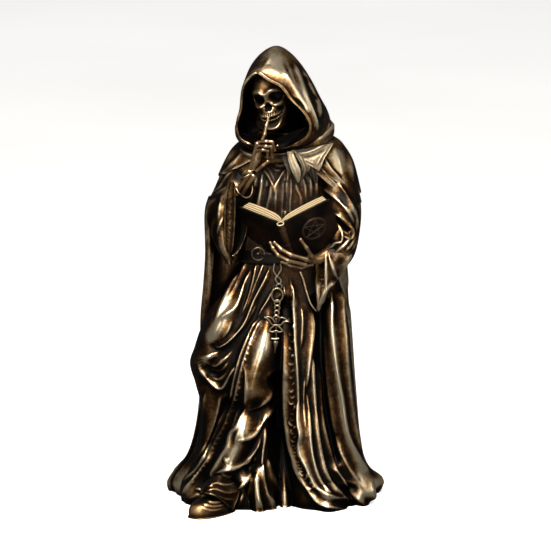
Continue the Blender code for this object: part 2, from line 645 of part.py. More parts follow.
def bone_hand():
    """The raised hand: one finger at the teeth, three folded fingers, thumb, wrist and forearm."""
    finger = FINGER_RADIUS / GRID
    arm = ARM_BONE_RADIUS / GRID
    return [
        rod([(-9.5, 380.5, -50), (-11.5, 372, -52), (-13.5, 364, -53), (-16, 356, -53)],
            [0.8 * finger, finger, 0.95 * finger, 1.1 * finger]),
        rod([(-20, 355.4, -54), (-12, 356.4, -59), (-5.5, 356, -58), (-3, 348, -55)], finger),
        rod([(-20, 352, -54), (-12, 352, -60), (-6.5, 351, -58), (-5.5, 342, -54)], finger),
        rod([(-20.5, 348, -54), (-15, 348, -59), (-10, 348, -57), (-10.5, 341, -53)], finger),
        rod([(-20, 355, -54), (-24, 343, -52), (-28, 330, -48)], [1.3 * finger, 0.9 * finger, 1.2 * finger]),
        rod([(-16, 354, -53), (-19, 342, -52), (-24, 329, -48)], [1.3 * finger, 0.9 * finger, 1.2 * finger]),
        rod([(-10, 338, -54), (-15, 333, -53), (-22, 327, -49)], finger),
        rod([(-20, 348, -50), (-22, 337, -49), (-27, 328, -46)], [2.2 * finger, 2.4 * finger, 1.8 * finger]),
        rod([(-27, 328, -48), (-32, 320, -46), (-39, 308, -42)], [1.4 * arm, arm, 1.2 * arm]),
        rod([(-24, 324, -47), (-29, 316, -45), (-35, 306, -41)], [1.2 * arm, 0.9 * arm, 1.1 * arm]),
    ]


BOOK_HEAD = (2.5, 276, -80)
BOOK_TURN = (math.radians(36), math.radians(-6.9), math.radians(-13.7))
BOOK_OPEN = math.radians(31.7)


def book_frame():
    """The open book's axes at the head of its spine: X across, Y towards the pages, Z to the head."""
    turn = Matrix.Rotation(BOOK_TURN[2], 4, "Z") @ Matrix.Rotation(BOOK_TURN[1], 4, "Y")
    turn = turn @ Matrix.Rotation(BOOK_TURN[0], 4, "X")
    return Matrix.Translation(Vector(place(BOOK_HEAD))) @ turn


def book():
    """Two boards hinged on a round spine, with a block of pages on each that curves into the gutter."""
    frame = book_frame()
    long = BOOK_HEIGHT / GRID
    wide = BOOK_WIDTH / GRID
    board = BOOK_BOARD / GRID
    pages = BOOK_PAGES / GRID
    square = BOOK_SQUARE / GRID
    spine = BOOK_SPINE / GRID
    solids = []
    for side in (-1, 1):
        swing = frame @ Matrix.Rotation(side * BOOK_OPEN, 4, "Z")
        cover = swing @ Matrix.Translation((side * wide / 2, 0, -long / 2)) @ Matrix.Diagonal(
            (wide, board, long, 1))
        solids.append(bmesh_points(bmesh.ops.create_cube, cover, size=1.0))
        fore = wide - square
        outline = [(0, 0), (fore, 0), (fore - 0.25 * pages, pages), (0.55 * fore, 1.05 * pages),
                   (0.25 * fore, 0.95 * pages), (0.1 * fore, 0.6 * pages)]
        loop = np.array([(side * x, board / 2 + y, 0) for x, y in outline])
        ends = np.array([[0, 0, -long + square], [0, 0, -square]])
        grid = loop[None] + ends[:, None]
        grid = np.array([[swing @ Vector(point) for point in row] for row in grid])
        solids.append(grid_mesh(grid if side > 0 else grid[:, ::-1]))
    middle = frame @ Matrix.Translation((0, 0, -long / 2)) @ Matrix.Diagonal((spine, 0.7 * spine, long, 1))
    solids.append(bmesh_points(bmesh.ops.create_cone, middle, cap_ends=True, segments=24,
                               radius1=1.0, radius2=1.0, depth=1.0))
    return solids


def book_hand():
    """The hand that carries the book: fingers under the boards and the thumb over the right board."""
    finger = FINGER_RADIUS / GRID
    return [
        rod([(-2.5, 257, -74), (3.6, 249.6, -76), (13.8, 244.5, -74), (29, 240.4, -66), (36, 240, -58)],
            [0.8 * finger, finger, finger, 1.2 * finger, 1.5 * finger]),
        rod([(-7.6, 257.5, -70), (-2.5, 248.6, -72), (9.8, 239.4, -71), (26, 236.5, -64), (35, 238, -57)],
            [0.8 * finger, finger, finger, 1.2 * finger, 1.4 * finger]),
        rod([(3, 238, -64), (12, 234.5, -66), (23, 232.5, -62), (34, 236, -55)],
            [0.8 * finger, finger, 1.1 * finger, 1.4 * finger]),
        rod([(21.9, 260.5, -78), (28, 252, -76), (33, 244, -68), (36, 239, -58)],
            [0.9 * finger, 1.1 * finger, 1.1 * finger, 1.5 * finger]),
        rod([(30, 241, -58), (40, 241, -50), (52, 248, -38), (62, 256, -26)],
            [2.2 * finger, 3 * finger, 8, 10]),
    ]


# Belt with its round buckle, and the chain with its pendant

BELT_HEIGHT = 251
BUCKLE_CENTRE = (-19.8, 246)


def belt(front):
    """A flat band around the waist, with a round wire buckle and its boss."""
    proud = BELT_PROUD / GRID
    half = BELT_WIDTH / GRID / 2
    heights = np.linspace(BELT_HEIGHT - half, BELT_HEIGHT + half, 6)[:, None] + np.zeros((1, 90))
    turn = np.linspace(0, 2 * math.pi, 90, endpoint=False)[None, :] + np.zeros((6, 1))
    depth = front(*BUCKLE_CENTRE) - proud
    radius = BUCKLE_RADIUS / GRID
    u, v = BUCKLE_CENTRE
    around = [(u + radius * math.cos(angle), v + radius * math.sin(angle), depth - 1)
              for angle in np.linspace(0, 2 * math.pi, 16, endpoint=False)]
    ring = rod(around, [BUCKLE_WIRE / GRID] * 16, closed=True, cuts=2)
    boss = ellipsoid(place((*BUCKLE_CENTRE, depth)), [0.4 * radius] * 3)
    return [grid_mesh(oval(BODY, heights, turn, proud)), ring, boss]


CHAIN_TOP = (1, 228)
CHAIN_RINGS = [((1, 213.5), 1.0), ((-0.8, 204.5), 1.6), ((-0.8, 197), 1.0), ((-0.8, 192), 0.95),
               ((-1.4, 187.2), 0.9)]
PENDANT_ARMS = [[(-2, 186), (-2, 176), (-2.2, 162), (-3.2, 148)],
                [(-13.4, 182.6), (-8, 178), (-2, 176.3), (4, 177), (10.4, 178.8)],
                [(-13.4, 182.6), (-8.5, 183.5), (-2, 176.3)],
                [(10.4, 178.8), (4.5, 183.5), (-2, 176.3)],
                [(-9.2, 170), (-2, 176), (4, 170), (-2.5, 169.5), (-9.2, 170)],
                [(-6.4, 162), (-2.5, 162.4), (0.9, 162)]]


def chain(front):
    wire = CHAIN_WIRE / GRID
    solids = []

    def laid(path, radius):
        points = [(u, v, front(u, v) - 0.6 * radius) for u, v in path]
        return points, [radius] * len(points)

    solids.append(rod(*laid([(-3.5, 238), (-3, 227), CHAIN_TOP, (3, 220)], wire)))
    solids.append(rod(*laid([(5, 238), (4, 227), (1, 219)], wire)))
    for (u, v), size in CHAIN_RINGS:
        radius = size * (RING_RADIUS if size > 1.2 else LINK_RADIUS) / GRID
        path = [(u + 0.85 * radius * math.cos(turn), v + radius * math.sin(turn))
                for turn in np.linspace(0, 2 * math.pi, 12, endpoint=False)]
        solids.append(rod(*laid(path, wire), closed=True, cuts=2))
    for path in PENDANT_ARMS:
        solids.append(rod(*laid(path, PENDANT_PLATE / GRID / 2)))
    return solids


# Shoe under the hem, and the trouser cuff over it

SHOE_HEEL = (-46, -56)
SHOE_TOE = (-84, -103)


def shoe():
    sole = SOLE_THICKNESS / GRID
    half = SHOE_WIDTH / GRID / 2
    heel = np.array(SHOE_HEEL, float)
    along = np.array(SHOE_TOE, float) - heel
    length = np.linalg.norm(along)
    along /= length
    side = np.array([-along[1], along[0]])

    def loop(height, grow, lift):
        turn = np.linspace(0, 2 * math.pi, 40, endpoint=False)
        reach = 0.5 + 0.5 * np.cos(turn)
        width = half * grow * (0.82 + 0.18 * np.cos(2 * (reach - 0.35)))
        points = heel + np.outer((0.5 + (0.5 + 0.02 * grow) * np.cos(turn)) * length, along)
        points = points + np.outer(width * np.sign(np.sin(turn)) * np.abs(np.sin(turn)) ** 0.88, side)
        return np.column_stack([points, height + lift * (1 - reach)])

    welt = np.array([loop(0, 1.0, 0), loop(0.5 * sole, 1.06, 0), loop(sole, 1.06, 0), loop(sole, 0.9, 0)])
    upper = np.array([loop(0.6 * sole, 0.94, 0), loop(sole + 4, 0.95, 2), loop(sole + 7, 0.82, 5),
                      loop(sole + 9.5, 0.5, 9), loop(sole + 10.5, 0.15, 11)])
    return [grid_mesh(welt), grid_mesh(spline(upper, 16)),
            rod([(-64, 22, -62), (-64, 10, -72), (-62, 1, -80)], [11, 12, 12.5])]


# Casting: every form is fused into one solid, cut flat to stand, and thinned to broad facets

def joined(solids):
    points = []
    faces = []
    for solid_points, solid_faces in solids:
        faces += [[index + len(points) for index in face] for face in solid_faces]
        points += [tuple(point) for point in solid_points]
    mesh = bpy.data.meshes.new("form")
    mesh.from_pydata(points, [], faces)
    mesh.validate()
    return mesh


def with_modifier(mesh, kind, **settings):
    """The mesh as one of Blender's modifiers leaves it."""
    holder = bpy.data.objects.new("holder", mesh)
    bpy.context.scene.collection.objects.link(holder)
    modifier = holder.modifiers.new(kind, kind)
    for name, value in settings.items():
        setattr(modifier, name, value)
    bpy.context.view_layer.update()
    result = bpy.data.meshes.new_from_object(holder.evaluated_get(bpy.context.evaluated_depsgraph_get()))
    bpy.data.objects.remove(holder)
    return result


def without_hollows(mesh):
    """The mesh with its sealed hollows filled: their inner skins go, and so do specks of no volume."""
    solid = bmesh.new()
    solid.from_mesh(mesh)
    seen = set()
    for first in solid.faces:
        if first in seen:
            continue
        seen.add(first)
        shell = [first]
        for face in shell:
            for edge in face.edges:
                for near in edge.link_faces:
                    if near not in seen:
                        seen.add(near)
                        shell.append(near)
        volume = sum(face.calc_center_median().dot(face.normal) * face.calc_area() for face in shell)
        if volume < SPECK_VOLUME:
            bmesh.ops.delete(solid, geom=shell, context="FACES")
            return without_hollows(bmesh_to_mesh(solid))
    return bmesh_to_mesh(solid)


def bmesh_to_mesh(solid):
    mesh = bpy.data.meshes.new("form")
    solid.to_mesh(mesh)
    solid.free()
    return mesh


def bronze():
    material = bpy.data.materials.new("aged_bronze")
    material.use_nodes = True
    shader = material.node_tree.nodes["Principled BSDF"]
    shader.inputs["Base Color"].default_value = (0.29, 0.15, 0.06, 1)
    shader.inputs["Metallic"].default_value = 0.9
    shader.inputs["Roughness"].default_value = 0.38
    return material


def casting():
    base = [body()]
    front = front_of(base)
    solids = base + cloak() + sleeves() + capes() + hood() + skull()
    solids += bone_hand() + book() + book_hand() + belt(front) + chain(front) + shoe()
    scaled = [(np.asarray(points) * GRID, faces) for points, faces in solids]
    fused = with_modifier(joined(scaled), "REMESH", mode="VOXEL", voxel_size=VOXEL)
    whole = without_hollows(fused)
    thin = without_hollows(with_modifier(whole, "DECIMATE", ratio=TRIANGLES / 2 / len(whole.polygons)))
    solid = bmesh.new()
    solid.from_mesh(thin)
    everything = solid.verts[:] + solid.edges[:] + solid.faces[:]
    bmesh.ops.bisect_plane(solid, geom=everything, plane_co=(0, 0, VOXEL), plane_no=(0, 0, -1),
                           clear_outer=True)
    rim = [edge for edge in solid.edges if edge.is_boundary]
    bmesh.ops.contextual_create(solid, geom=rim)
    bmesh.ops.triangulate(solid, faces=solid.faces)
    bmesh.ops.translate(solid, verts=solid.verts, vec=(0, 0, -VOXEL))
    return bmesh_to_mesh(solid)


def main():
    for old in list(bpy.data.objects):
        bpy.data.objects.remove(old)
    figure = bpy.data.objects.new("reaper_figure", casting())
    corners = np.array([vert.co for vert in figure.data.vertices])
    middle = (corners.min(axis=0) + corners.max(axis=0)) / 2
    figure.data.transform(Matrix.Translation((-middle[0], -middle[1], -corners[:, 2].min())))
    figure.data.materials.clear()
    figure.data.materials.append(bronze())
    group = bpy.data.collections.new("grim_reaper_figurine")
    bpy.context.scene.collection.children.link(group)
    group.objects.link(figure)


main()
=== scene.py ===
"""Looks of the grim reaper figurine: the bronze casting in full relief, its patina, and the studio.

The casting is laid out on the carver's grid: u runs to the viewer's right of the figure's axis, v runs
up the front elevation, y runs back into the figure, all in grid steps of the figure's height.
"""

import math

import bmesh
import bpy
import numpy as np
from mathutils import Matrix, Vector
from mathutils.bvhtree import BVHTree


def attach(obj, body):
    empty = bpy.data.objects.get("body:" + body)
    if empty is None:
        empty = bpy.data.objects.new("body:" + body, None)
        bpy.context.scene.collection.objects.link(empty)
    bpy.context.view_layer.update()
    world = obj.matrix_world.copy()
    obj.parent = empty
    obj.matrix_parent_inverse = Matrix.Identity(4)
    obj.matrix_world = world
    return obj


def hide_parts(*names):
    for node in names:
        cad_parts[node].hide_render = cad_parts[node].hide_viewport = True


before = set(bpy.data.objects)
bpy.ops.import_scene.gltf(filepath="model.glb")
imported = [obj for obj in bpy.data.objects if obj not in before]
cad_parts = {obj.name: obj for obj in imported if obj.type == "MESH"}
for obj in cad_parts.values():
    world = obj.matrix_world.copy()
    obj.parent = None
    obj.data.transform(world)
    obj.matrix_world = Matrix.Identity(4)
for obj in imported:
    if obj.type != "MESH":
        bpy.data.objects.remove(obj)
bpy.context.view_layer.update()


# The studio's camera
# It stands four metres before the figure, well above its hood, and looks ten degrees down at its
# middle. A long lens keeps the hood and the hem at the same scale.

HEIGHT = 0.300
GRID_STEPS = 459
GRID = HEIGHT / GRID_STEPS
CASTING_MIDDLE = np.array([-1.44, -14.62, 1.6])
TILT = math.radians(10)
SIN_TILT = math.sin(TILT)
COS_TILT = math.cos(TILT)
TO_VIEWER = np.array([0.0, -COS_TILT, SIN_TILT])
PHOTO_CENTRE = (-2.5, 224.5)
CAMERA_LENS = 400
CAMERA_SENSOR = 36
PHOTO_PIXELS = 551
CAMERA_DISTANCE = GRID * PHOTO_PIXELS * CAMERA_LENS / CAMERA_SENSOR


def place(points):
    """Grid points (u, v, y) as points of the casting in grid steps: v is read along the tilted elevation."""
    points = np.asarray(points, float)
    height = (points[..., 1] - points[..., 2] * SIN_TILT) / COS_TILT
    return np.stack([points[..., 0], points[..., 2], height], -1)


def in_frame(points):
    """Points in grid steps as metres in the frame, none below the surface it stands on."""
    metres = (points - CASTING_MIDDLE) * GRID
    metres[..., 2] = np.maximum(metres[..., 2], 0.0)
    return metres


aim = Vector(in_frame(place((*PHOTO_CENTRE, 0.0))))
camera_data = bpy.data.cameras.new("studio_camera")
camera_data.lens = CAMERA_LENS
camera_data.sensor_width = CAMERA_SENSOR
camera_data.clip_end = 100
camera = bpy.data.objects.new("studio_camera", camera_data)
camera.location = aim + CAMERA_DISTANCE * Vector(TO_VIEWER)
camera.rotation_euler = (math.pi / 2 - TILT, 0, 0)
bpy.context.scene.collection.objects.link(camera)
bpy.context.scene.camera = camera


# Robe
# The robe and its vest are part of the one casting in bronze-filled resin. They were modelled in wax,
# the robe over striding legs: thin crests with broad hollows between them. Its front edge and the
# stole down its middle carry a raised border and scrollwork.

STATION_STEPS = 40



def elevation(points):
    """Points in grid steps as they show on the front elevation (u, v)."""
    return np.stack([points[..., 0], points[..., 2] * COS_TILT + points[..., 1] * SIN_TILT], -1)


def spline(knots, count, closed=False):
    """A Catmull-Rom curve through the knots, as count rows."""
    knots = np.asarray(knots, float)
    total = len(knots)
    spans = total if closed else total - 1
    turn = np.arange(count) * spans / (count if closed else count - 1)
    first = np.minimum(turn.astype(int), spans - 1)
    part = (turn - first).reshape((-1,) + (1,) * (knots.ndim - 1))

    def knot(step):
        index = first + step
        return knots[index % total] if closed else knots[np.clip(index, 0, total - 1)]

    before, start, end, after = knot(-1), knot(0), knot(1), knot(2)
    cubic = 3 * (start - end) + after - before
    square = 2 * before - 5 * start + 4 * end - after
    return start + 0.5 * part * (end - before + part * (square + part * cubic))


def smooth_step(low, high, value):
    """A share that eases from 0 at low to 1 at high."""
    share = np.clip((value - low) / (high - low), 0.0, 1.0)
    return share * share * (3 - 2 * share)


def oval(stations, heights, turn, proud=0.0):
    """Points of the stations' rounded ovals at each height and turn, stood proud by some steps."""
    fine = spline(stations, STATION_STEPS * len(stations))
    left, right, front, back, power = [np.interp(heights, fine[:, 0], fine[:, k]) for k in range(1, 6)]
    across = np.abs(np.cos(turn) / ((right - left) / 2 + proud)) ** power
    deep = np.abs(np.sin(turn) / ((back - front) / 2 + proud)) ** power
    reach = (across + deep) ** (-1 / power)
    x = (left + right) / 2 + reach * np.cos(turn)
    y = (front + back) / 2 + reach * np.sin(turn)
    return np.stack([x, y, np.broadcast_to(heights, x.shape)], -1)


def turns(count, front_share=0.5):
    """Angles once around, with a share of them on the half that faces the viewer."""
    front = int(count * front_share)
    return np.concatenate([np.linspace(math.pi, 2 * math.pi, front, endpoint=False),
                           np.linspace(0, math.pi, count - front, endpoint=False)])


def loft(stations, rows, cols, front_share=0.5, low=None, high=None):
    """A stack of ovals between two heights, or over the stations' whole height."""
    low = stations[0][0] if low is None else low
    high = stations[-1][0] if high is None else high
    heights = np.linspace(low, high, rows)[:, None]
    turn = turns(cols, front_share)[None, :]
    return oval(stations, heights + 0 * turn, turn + 0 * heights)


def outward(grid):
    """Unit normals of a grid whose columns close on themselves."""
    across = np.roll(grid, -1, 1) - np.roll(grid, 1, 1)
    normal = np.cross(across, np.gradient(grid, axis=0))
    return normal / np.maximum(np.linalg.norm(normal, axis=-1, keepdims=True), 1e-9)


STROKE_STEPS = 5
STROKE_REACH = 5
TAPER = {True: 8.0, False: 2.6}
POINTED = 0.35
CREST_ROUNDING = 0.8


def stroke_distance(points, path):
    """Distance of each elevation point from a path, and how far along the path it lies, from 0 to 1."""
    line = spline(path, STROKE_STEPS * len(path))
    start = line[:-1]
    span = line[1:] - start
    gap = np.full(len(points), 1e9)
    along = np.zeros(len(points))
    for index, (corner, run) in enumerate(zip(start, span)):
        offset = points - corner
        share = np.clip(offset @ run / max(run @ run, 1e-9), 0, 1)
        away = np.hypot(*(offset - share[:, None] * run).T)
        nearer = away < gap
        gap[nearer] = away[nearer]
        along[nearer] = (index + share[nearer]) / len(span)
    return gap, along


def carving(points, strokes, sharp=True):
    """Height of a set of strokes (path, height, width) over elevation points, each pointed at its ends.

    Sharp crests run into each other where they meet, and soft ones add up.
    """
    flat = points.reshape(-1, 2)
    raised = np.zeros(len(flat))
    sunk = np.zeros(len(flat))
    for path, height, width in strokes:
        corner = np.array(path, float)
        reach = STROKE_REACH * width
        inside = np.all((flat > corner.min(0) - reach) & (flat < corner.max(0) + reach), axis=1)
        if not inside.any():
            continue
        gap, share = stroke_distance(flat[inside], path)
        length = np.linalg.norm(np.diff(corner, axis=0), axis=1).sum()
        ease = min(0.5, TAPER[sharp] * width / length)
        fade = smooth_step(0.0, ease, share) * smooth_step(1.0, 1 - ease, share)
        slim = width * (POINTED + (1 - POINTED) * fade)
        if sharp:
            fall = np.exp((CREST_ROUNDING - np.hypot(gap, CREST_ROUNDING)) / slim)
        else:
            fall = np.exp(-(gap / slim) ** 2)
        lift = height * fade * fall
        if height < 0:
            sunk[inside] += lift
        elif sharp:
            raised[inside] += lift ** 3
        else:
            raised[inside] += lift
    if sharp:
        raised = np.cbrt(raised)
    return (raised + sunk).reshape(points.shape[:-1])


def drape(grid, folds, depth, hem_height):
    """Hanging folds on the sides and back, deepest at the hem, their spacing bent by slower waves."""
    centre = grid.mean(axis=1, keepdims=True)
    turn = np.arctan2(grid[..., 1] - centre[..., 1], grid[..., 0] - centre[..., 0])
    slant = 0.004 * (grid[..., 2] - hem_height) * (1 + 1.5 * np.sin(3 * turn))
    phase = folds * turn + 1.9 * np.sin(2 * turn + 0.7) + 0.7 * np.sin(5 * turn + 2) + slant
    crest = (0.5 + 0.5 * np.cos(phase)) ** 2.5
    second = (0.5 + 0.5 * np.cos(2.37 * phase + 1.9)) ** 3
    low = 1 - np.clip(grid[..., 2] / hem_height, 0, 1)
    normal = outward(grid)
    behind = smooth_step(0.35, -0.25, normal @ TO_VIEWER)
    size = depth * (0.35 + 0.65 * low ** 1.3) * (0.75 + 0.25 * np.sin(3.7 * turn + 1))
    rise = size * (crest + 0.35 * second - 0.45) * behind
    return grid + normal * rise[..., None]


def carve_front(grid, swells, crests):
    """Broad forms pushed towards the viewer, then sharp folds raised on them."""
    weight = smooth_step(0.02, 0.5, outward(grid) @ TO_VIEWER)
    swell = carving(elevation(grid), swells, sharp=False) * weight
    grid = grid - np.array([0.0, 1.0, 0.0]) * swell[..., None]
    normal = outward(grid)
    weight = smooth_step(0.0, 0.35, normal @ TO_VIEWER)
    return grid + normal * (carving(elevation(grid), crests) * weight)[..., None]


def blurred(grid, window, ring_rows=False):
    """The grid averaged over a window given in grid steps: its columns close on themselves."""
    for axis in (0, 1):
        step = np.linalg.norm(np.diff(grid, axis=axis), axis=-1).mean()
        sigma = min(window / max(step, 1e-3), grid.shape[axis] / 6)
        reach = max(1, int(2.5 * sigma))
        weights = np.exp(-0.5 * (np.arange(-reach, reach + 1) / max(sigma, 0.3)) ** 2)
        weights /= weights.sum()
        pad = [(0, 0)] * 3
        pad[axis] = (reach, reach)
        padded = np.pad(grid, pad, mode="wrap" if axis == 1 or ring_rows else "edge")
        total = np.zeros_like(grid)
        size = grid.shape[axis]
        for shift, weight in enumerate(weights):
            part = padded[shift:shift + size] if axis == 0 else padded[:, shift:shift + size]
            total += weight * part
        grid = total
    return grid


# Each window of the relief: how wide it looks, the stand that counts as full, and its share of the tone.
# The widest lightens the broad swells: partly rubbed wear, partly a painted highlight.
RELIEF_WINDOWS = ((1.3, 0.32, 0.34), (3.5, 1.0, 0.36), (9.0, 2.6, 0.26), (24.0, 9.0, 0.20))
# Painted highlights where the front catches the light most, and painted shade where it lies darkest: path,
# change of tone, width.
PAINTED_HIGHLIGHTS_AND_SHADE = [
    ([(-10, 446), (-1, 434), (7, 420)], 0.40, 7),
    ([(25, 424), (32, 409), (39, 397)], -0.22, 2.4),
    ([(15, 401), (22, 394), (28, 387)], -0.16, 2.2),
    ([(12, 432), (21, 408), (32, 384)], 0.34, 3.0),
    ([(28, 418), (37, 401), (41, 384)], 0.26, 2.4),
    ([(44, 396), (48, 384), (44, 372)], 0.20, 3),
    ([(-22, 434), (-28, 422), (-32, 408)], 0.22, 4),
    ([(55, 352), (60, 340), (66, 320)], 0.46, 5.5),
    ([(60, 318), (67, 306), (73, 292)], -0.36, 4),
    ([(57, 310), (64, 299), (72, 288)], -0.34, 4),
    ([(61, 277), (65, 266), (62, 254)], -0.26, 3),
    ([(-10, 347), (4, 344), (17, 344)], -0.36, 4),
    ([(50, 249), (50, 236)], -0.30, 4),
    ([(59, 286), (69, 278), (74, 267), (68, 260)], -0.24, 4),
    ([(57, 243), (66, 237)], -0.30, 6),
    ([(48, 250), (55, 249), (63, 251)], -0.40, 4),
    ([(63, 288), (69, 278), (72, 266)], -0.16, 6),
    ([(-48, 214), (-59, 184), (-72, 150)], 0.32, 7),
    ([(-34, 216), (-44, 194), (-54, 174)], 0.16, 6),
    ([(-9, 174), (-15, 155), (-25, 131)], 0.34, 7),
    ([(9, 210), (9, 140), (9, 80), (14, 52), (23, 26), (40, 2), (60, -7)], 0.12, 2.2),
    ([(15, 200), (17, 160), (20, 100), (22, 60), (28, 36), (40, 14), (54, 5)], 0.12, 2.2),
    ([(54, 180), (58, 135), (65, 85), (74, 52), (87, 26)], 0.16, 4),
    ([(76, 36), (83, 22), (89, 10)], 0.32, 5),
    ([(62, 110), (67, 80), (74, 52)], 0.14, 4),
    ([(-20, 120), (-16, 104), (-22, 96)], 0.12, 5),
    ([(-20, 88), (-22, 76), (-32, 68)], 0.12, 5),
    ([(-43, 60), (-50, 42), (-58, 30)], 0.16, 5),
    ([(-72, 144), (-64, 144), (-56, 148)], 0.20, 3.5),
    ([(-52, 160), (-46, 164), (-40, 170)], 0.20, 3.5),
    ([(-42, 20), (-32, 24), (-26, 34)], 0.14, 4),
    ([(-62, 304), (-65, 278), (-64, 244)], -0.38, 8),
    ([(-57, 304), (-56, 298), (-56, 292)], -0.45, 4),
    ([(-43, 330), (-39, 322), (-38, 313)], -0.60, 5),
    ([(-38, 314), (-33, 307), (-30, 301)], -0.30, 6),
    ([(-40, 264), (-28, 252), (-16, 238)], -0.18, 9),
    ([(-70, 320), (-62, 334), (-50, 350)], -0.10, 8),
    ([(-98, 26), (-88, 42), (-80, 70), (-78, 100)], -0.30, 8),
    ([(-71, 264), (-72, 210), (-75, 166)], -0.34, 6),
    ([(-4, 114), (-2, 70), (-4, 20)], -0.22, 7),
    ([(40, 190), (42, 140), (46, 80)], -0.16, 6),
    ([(-56, 140), (-52, 128), (-46, 136)], -0.12, 6),
]
# Painted shade on the sides that turn away from the front, and a little less on the back.
PAINTED_SIDE_SHADE = 0.24
PAINTED_BACK_SHADE = 0.08


def true_outward(grid):
    """Unit normals that point out of the solid whichever way round the grid runs."""
    normal = outward(grid)
    middle = grid.mean(axis=(0, 1))
    across = np.roll(grid, -1, 1) - np.roll(grid, 1, 1)
    areas = np.cross(across, np.gradient(grid, axis=0))
    return normal * (1 if ((grid - middle) * areas).sum() > 0 else -1)


def relief(grid, ring_rows=False, nudge=0.0, windows=RELIEF_WINDOWS):
    """How far each point stands out of its surroundings: 0 in a deep hollow, 0.5 on the flat, 1 on a crest.

    A nudge lifts or lowers the whole tone. Painted highlights and painted shade are laid on the front,
    and the sides are darkened with painted shade, the back a little less.
    """
    normal = true_outward(grid)
    value = np.full(grid.shape[:2], 0.5 + nudge)
    for window, full, share in windows:
        stand = ((grid - blurred(grid, window, ring_rows)) * normal).sum(-1)
        value += 0.5 * share * np.tanh(stand / full)
    facing = normal @ TO_VIEWER
    # Painted highlights and painted shade, laid only on the faces turned to the front.
    value = value + carving(elevation(grid), PAINTED_HIGHLIGHTS_AND_SHADE, sharp=False) * smooth_step(0.1, 0.6, facing)
    side = smooth_step(0.85, 0.15, facing)
    behind = smooth_step(0.0, -0.6, facing)
    return value - PAINTED_SIDE_SHADE * side + (PAINTED_SIDE_SHADE - PAINTED_BACK_SHADE) * behind


def grid_mesh(grid, ring_rows=False, nudge=0.0, windows=RELIEF_WINDOWS):
    """Closed mesh of a grid: its columns close, and its rows end in caps or close as well.

    A piece's tone can be lifted above the rest, or lowered where nudge is below 0: inside the sleeve's mouth
    and under the hood that lowering is painted shade.
    """
    rows, cols = grid.shape[:2]
    index = np.arange(rows * cols).reshape(rows, cols)
    across = np.roll(index, -1, 1)
    level = relief(grid, ring_rows, nudge, windows).reshape(-1)
    if ring_rows:
        quads = np.stack([index, across, np.roll(across, -1, 0), np.roll(index, -1, 0)], -1)
        return grid.reshape(-1, 3), quads.reshape(-1, 4).tolist(), level
    quads = np.stack([index[:-1], across[:-1], across[1:], index[1:]], -1).reshape(-1, 4).tolist()
    points = np.concatenate([grid.reshape(-1, 3), grid[:1].mean(axis=1), grid[-1:].mean(axis=1)])
    low, high = rows * cols, rows * cols + 1
    caps = np.stack([across[0], index[0], np.full(cols, low)], -1).tolist()
    caps += np.stack([index[-1], across[-1], np.full(cols, high)], -1).tolist()
    return points, quads + caps, np.concatenate([level, [0.5, 0.5]])


def joined(solids):
    """Several meshes as one."""
    points = []
    faces = []
    levels = []
    for solid_points, solid_faces, level in solids:
        start = sum(len(part) for part in points)
        faces += [[index + start for index in face] for face in solid_faces]
        points.append(np.asarray(solid_points))
        levels.append(level)
    return np.concatenate(points), faces, np.concatenate(levels)


def cast(name, solids, finish, sharp_angle=None):
    """One piece of the figure from its meshes, in its finish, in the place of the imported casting."""
    points, faces, level = joined(solids)
    mesh = bpy.data.meshes.new(name)
    mesh.from_pydata(in_frame(points).tolist(), [], faces)
    solid = bmesh.new()
    solid.from_mesh(mesh)
    bmesh.ops.recalc_face_normals(solid, faces=solid.faces)
    for face in solid.faces:
        face.smooth = True
    if sharp_angle:
        for edge in solid.edges:
            edge.smooth = edge.calc_face_angle(0.0) < sharp_angle
    solid.to_mesh(mesh)
    solid.free()
    values = mesh.attributes.new("relief", "FLOAT", "POINT")
    values.data.foreach_set("value", np.asarray(level, np.float32))
    piece = bpy.data.objects.new(name, mesh)
    bpy.context.scene.collection.objects.link(piece)
    mesh.materials.append(finish)
    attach(piece, "root")
    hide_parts("reaper_figure")


def linear(code):
    """A colour written as a hex code, in the linear values that a shader takes."""
    channels = [int(code[start:start + 2], 16) / 255 for start in (0, 2, 4)]
    return [c / 12.92 if c <= 0.04045 else ((c + 0.055) / 1.055) ** 2.4 for c in channels] + [1.0]


def node(tree, kind, inputs=None, stops=(), **settings):
    """A shader node with its settings, each input set or linked, and a ramp's stops (place, tone).

    A tone is a hex code, or a number for a grey.
    """
    made = tree.nodes.new(kind)
    for key, value in settings.items():
        setattr(made, key, value)
    for key, value in (inputs or {}).items():
        if isinstance(value, bpy.types.Node):
            value = value.outputs[0]
        if isinstance(value, bpy.types.NodeSocket):
            tree.links.new(value, made.inputs[key])
        else:
            made.inputs[key].default_value = value
    if stops:
        elements = made.color_ramp.elements
        while len(elements) < len(stops):
            elements.new(0.5)
        for element, (position, tone) in zip(elements, stops):
            element.position = position
            element.color = linear(tone) if isinstance(tone, str) else (tone, tone, tone, 1)
    return made


SPECKS_PER_MOTTLE = 5
MOTTLES_PER_PATCH = 4
SHADED_TONE = 0.3
PIT_DEPTH = 0.0004


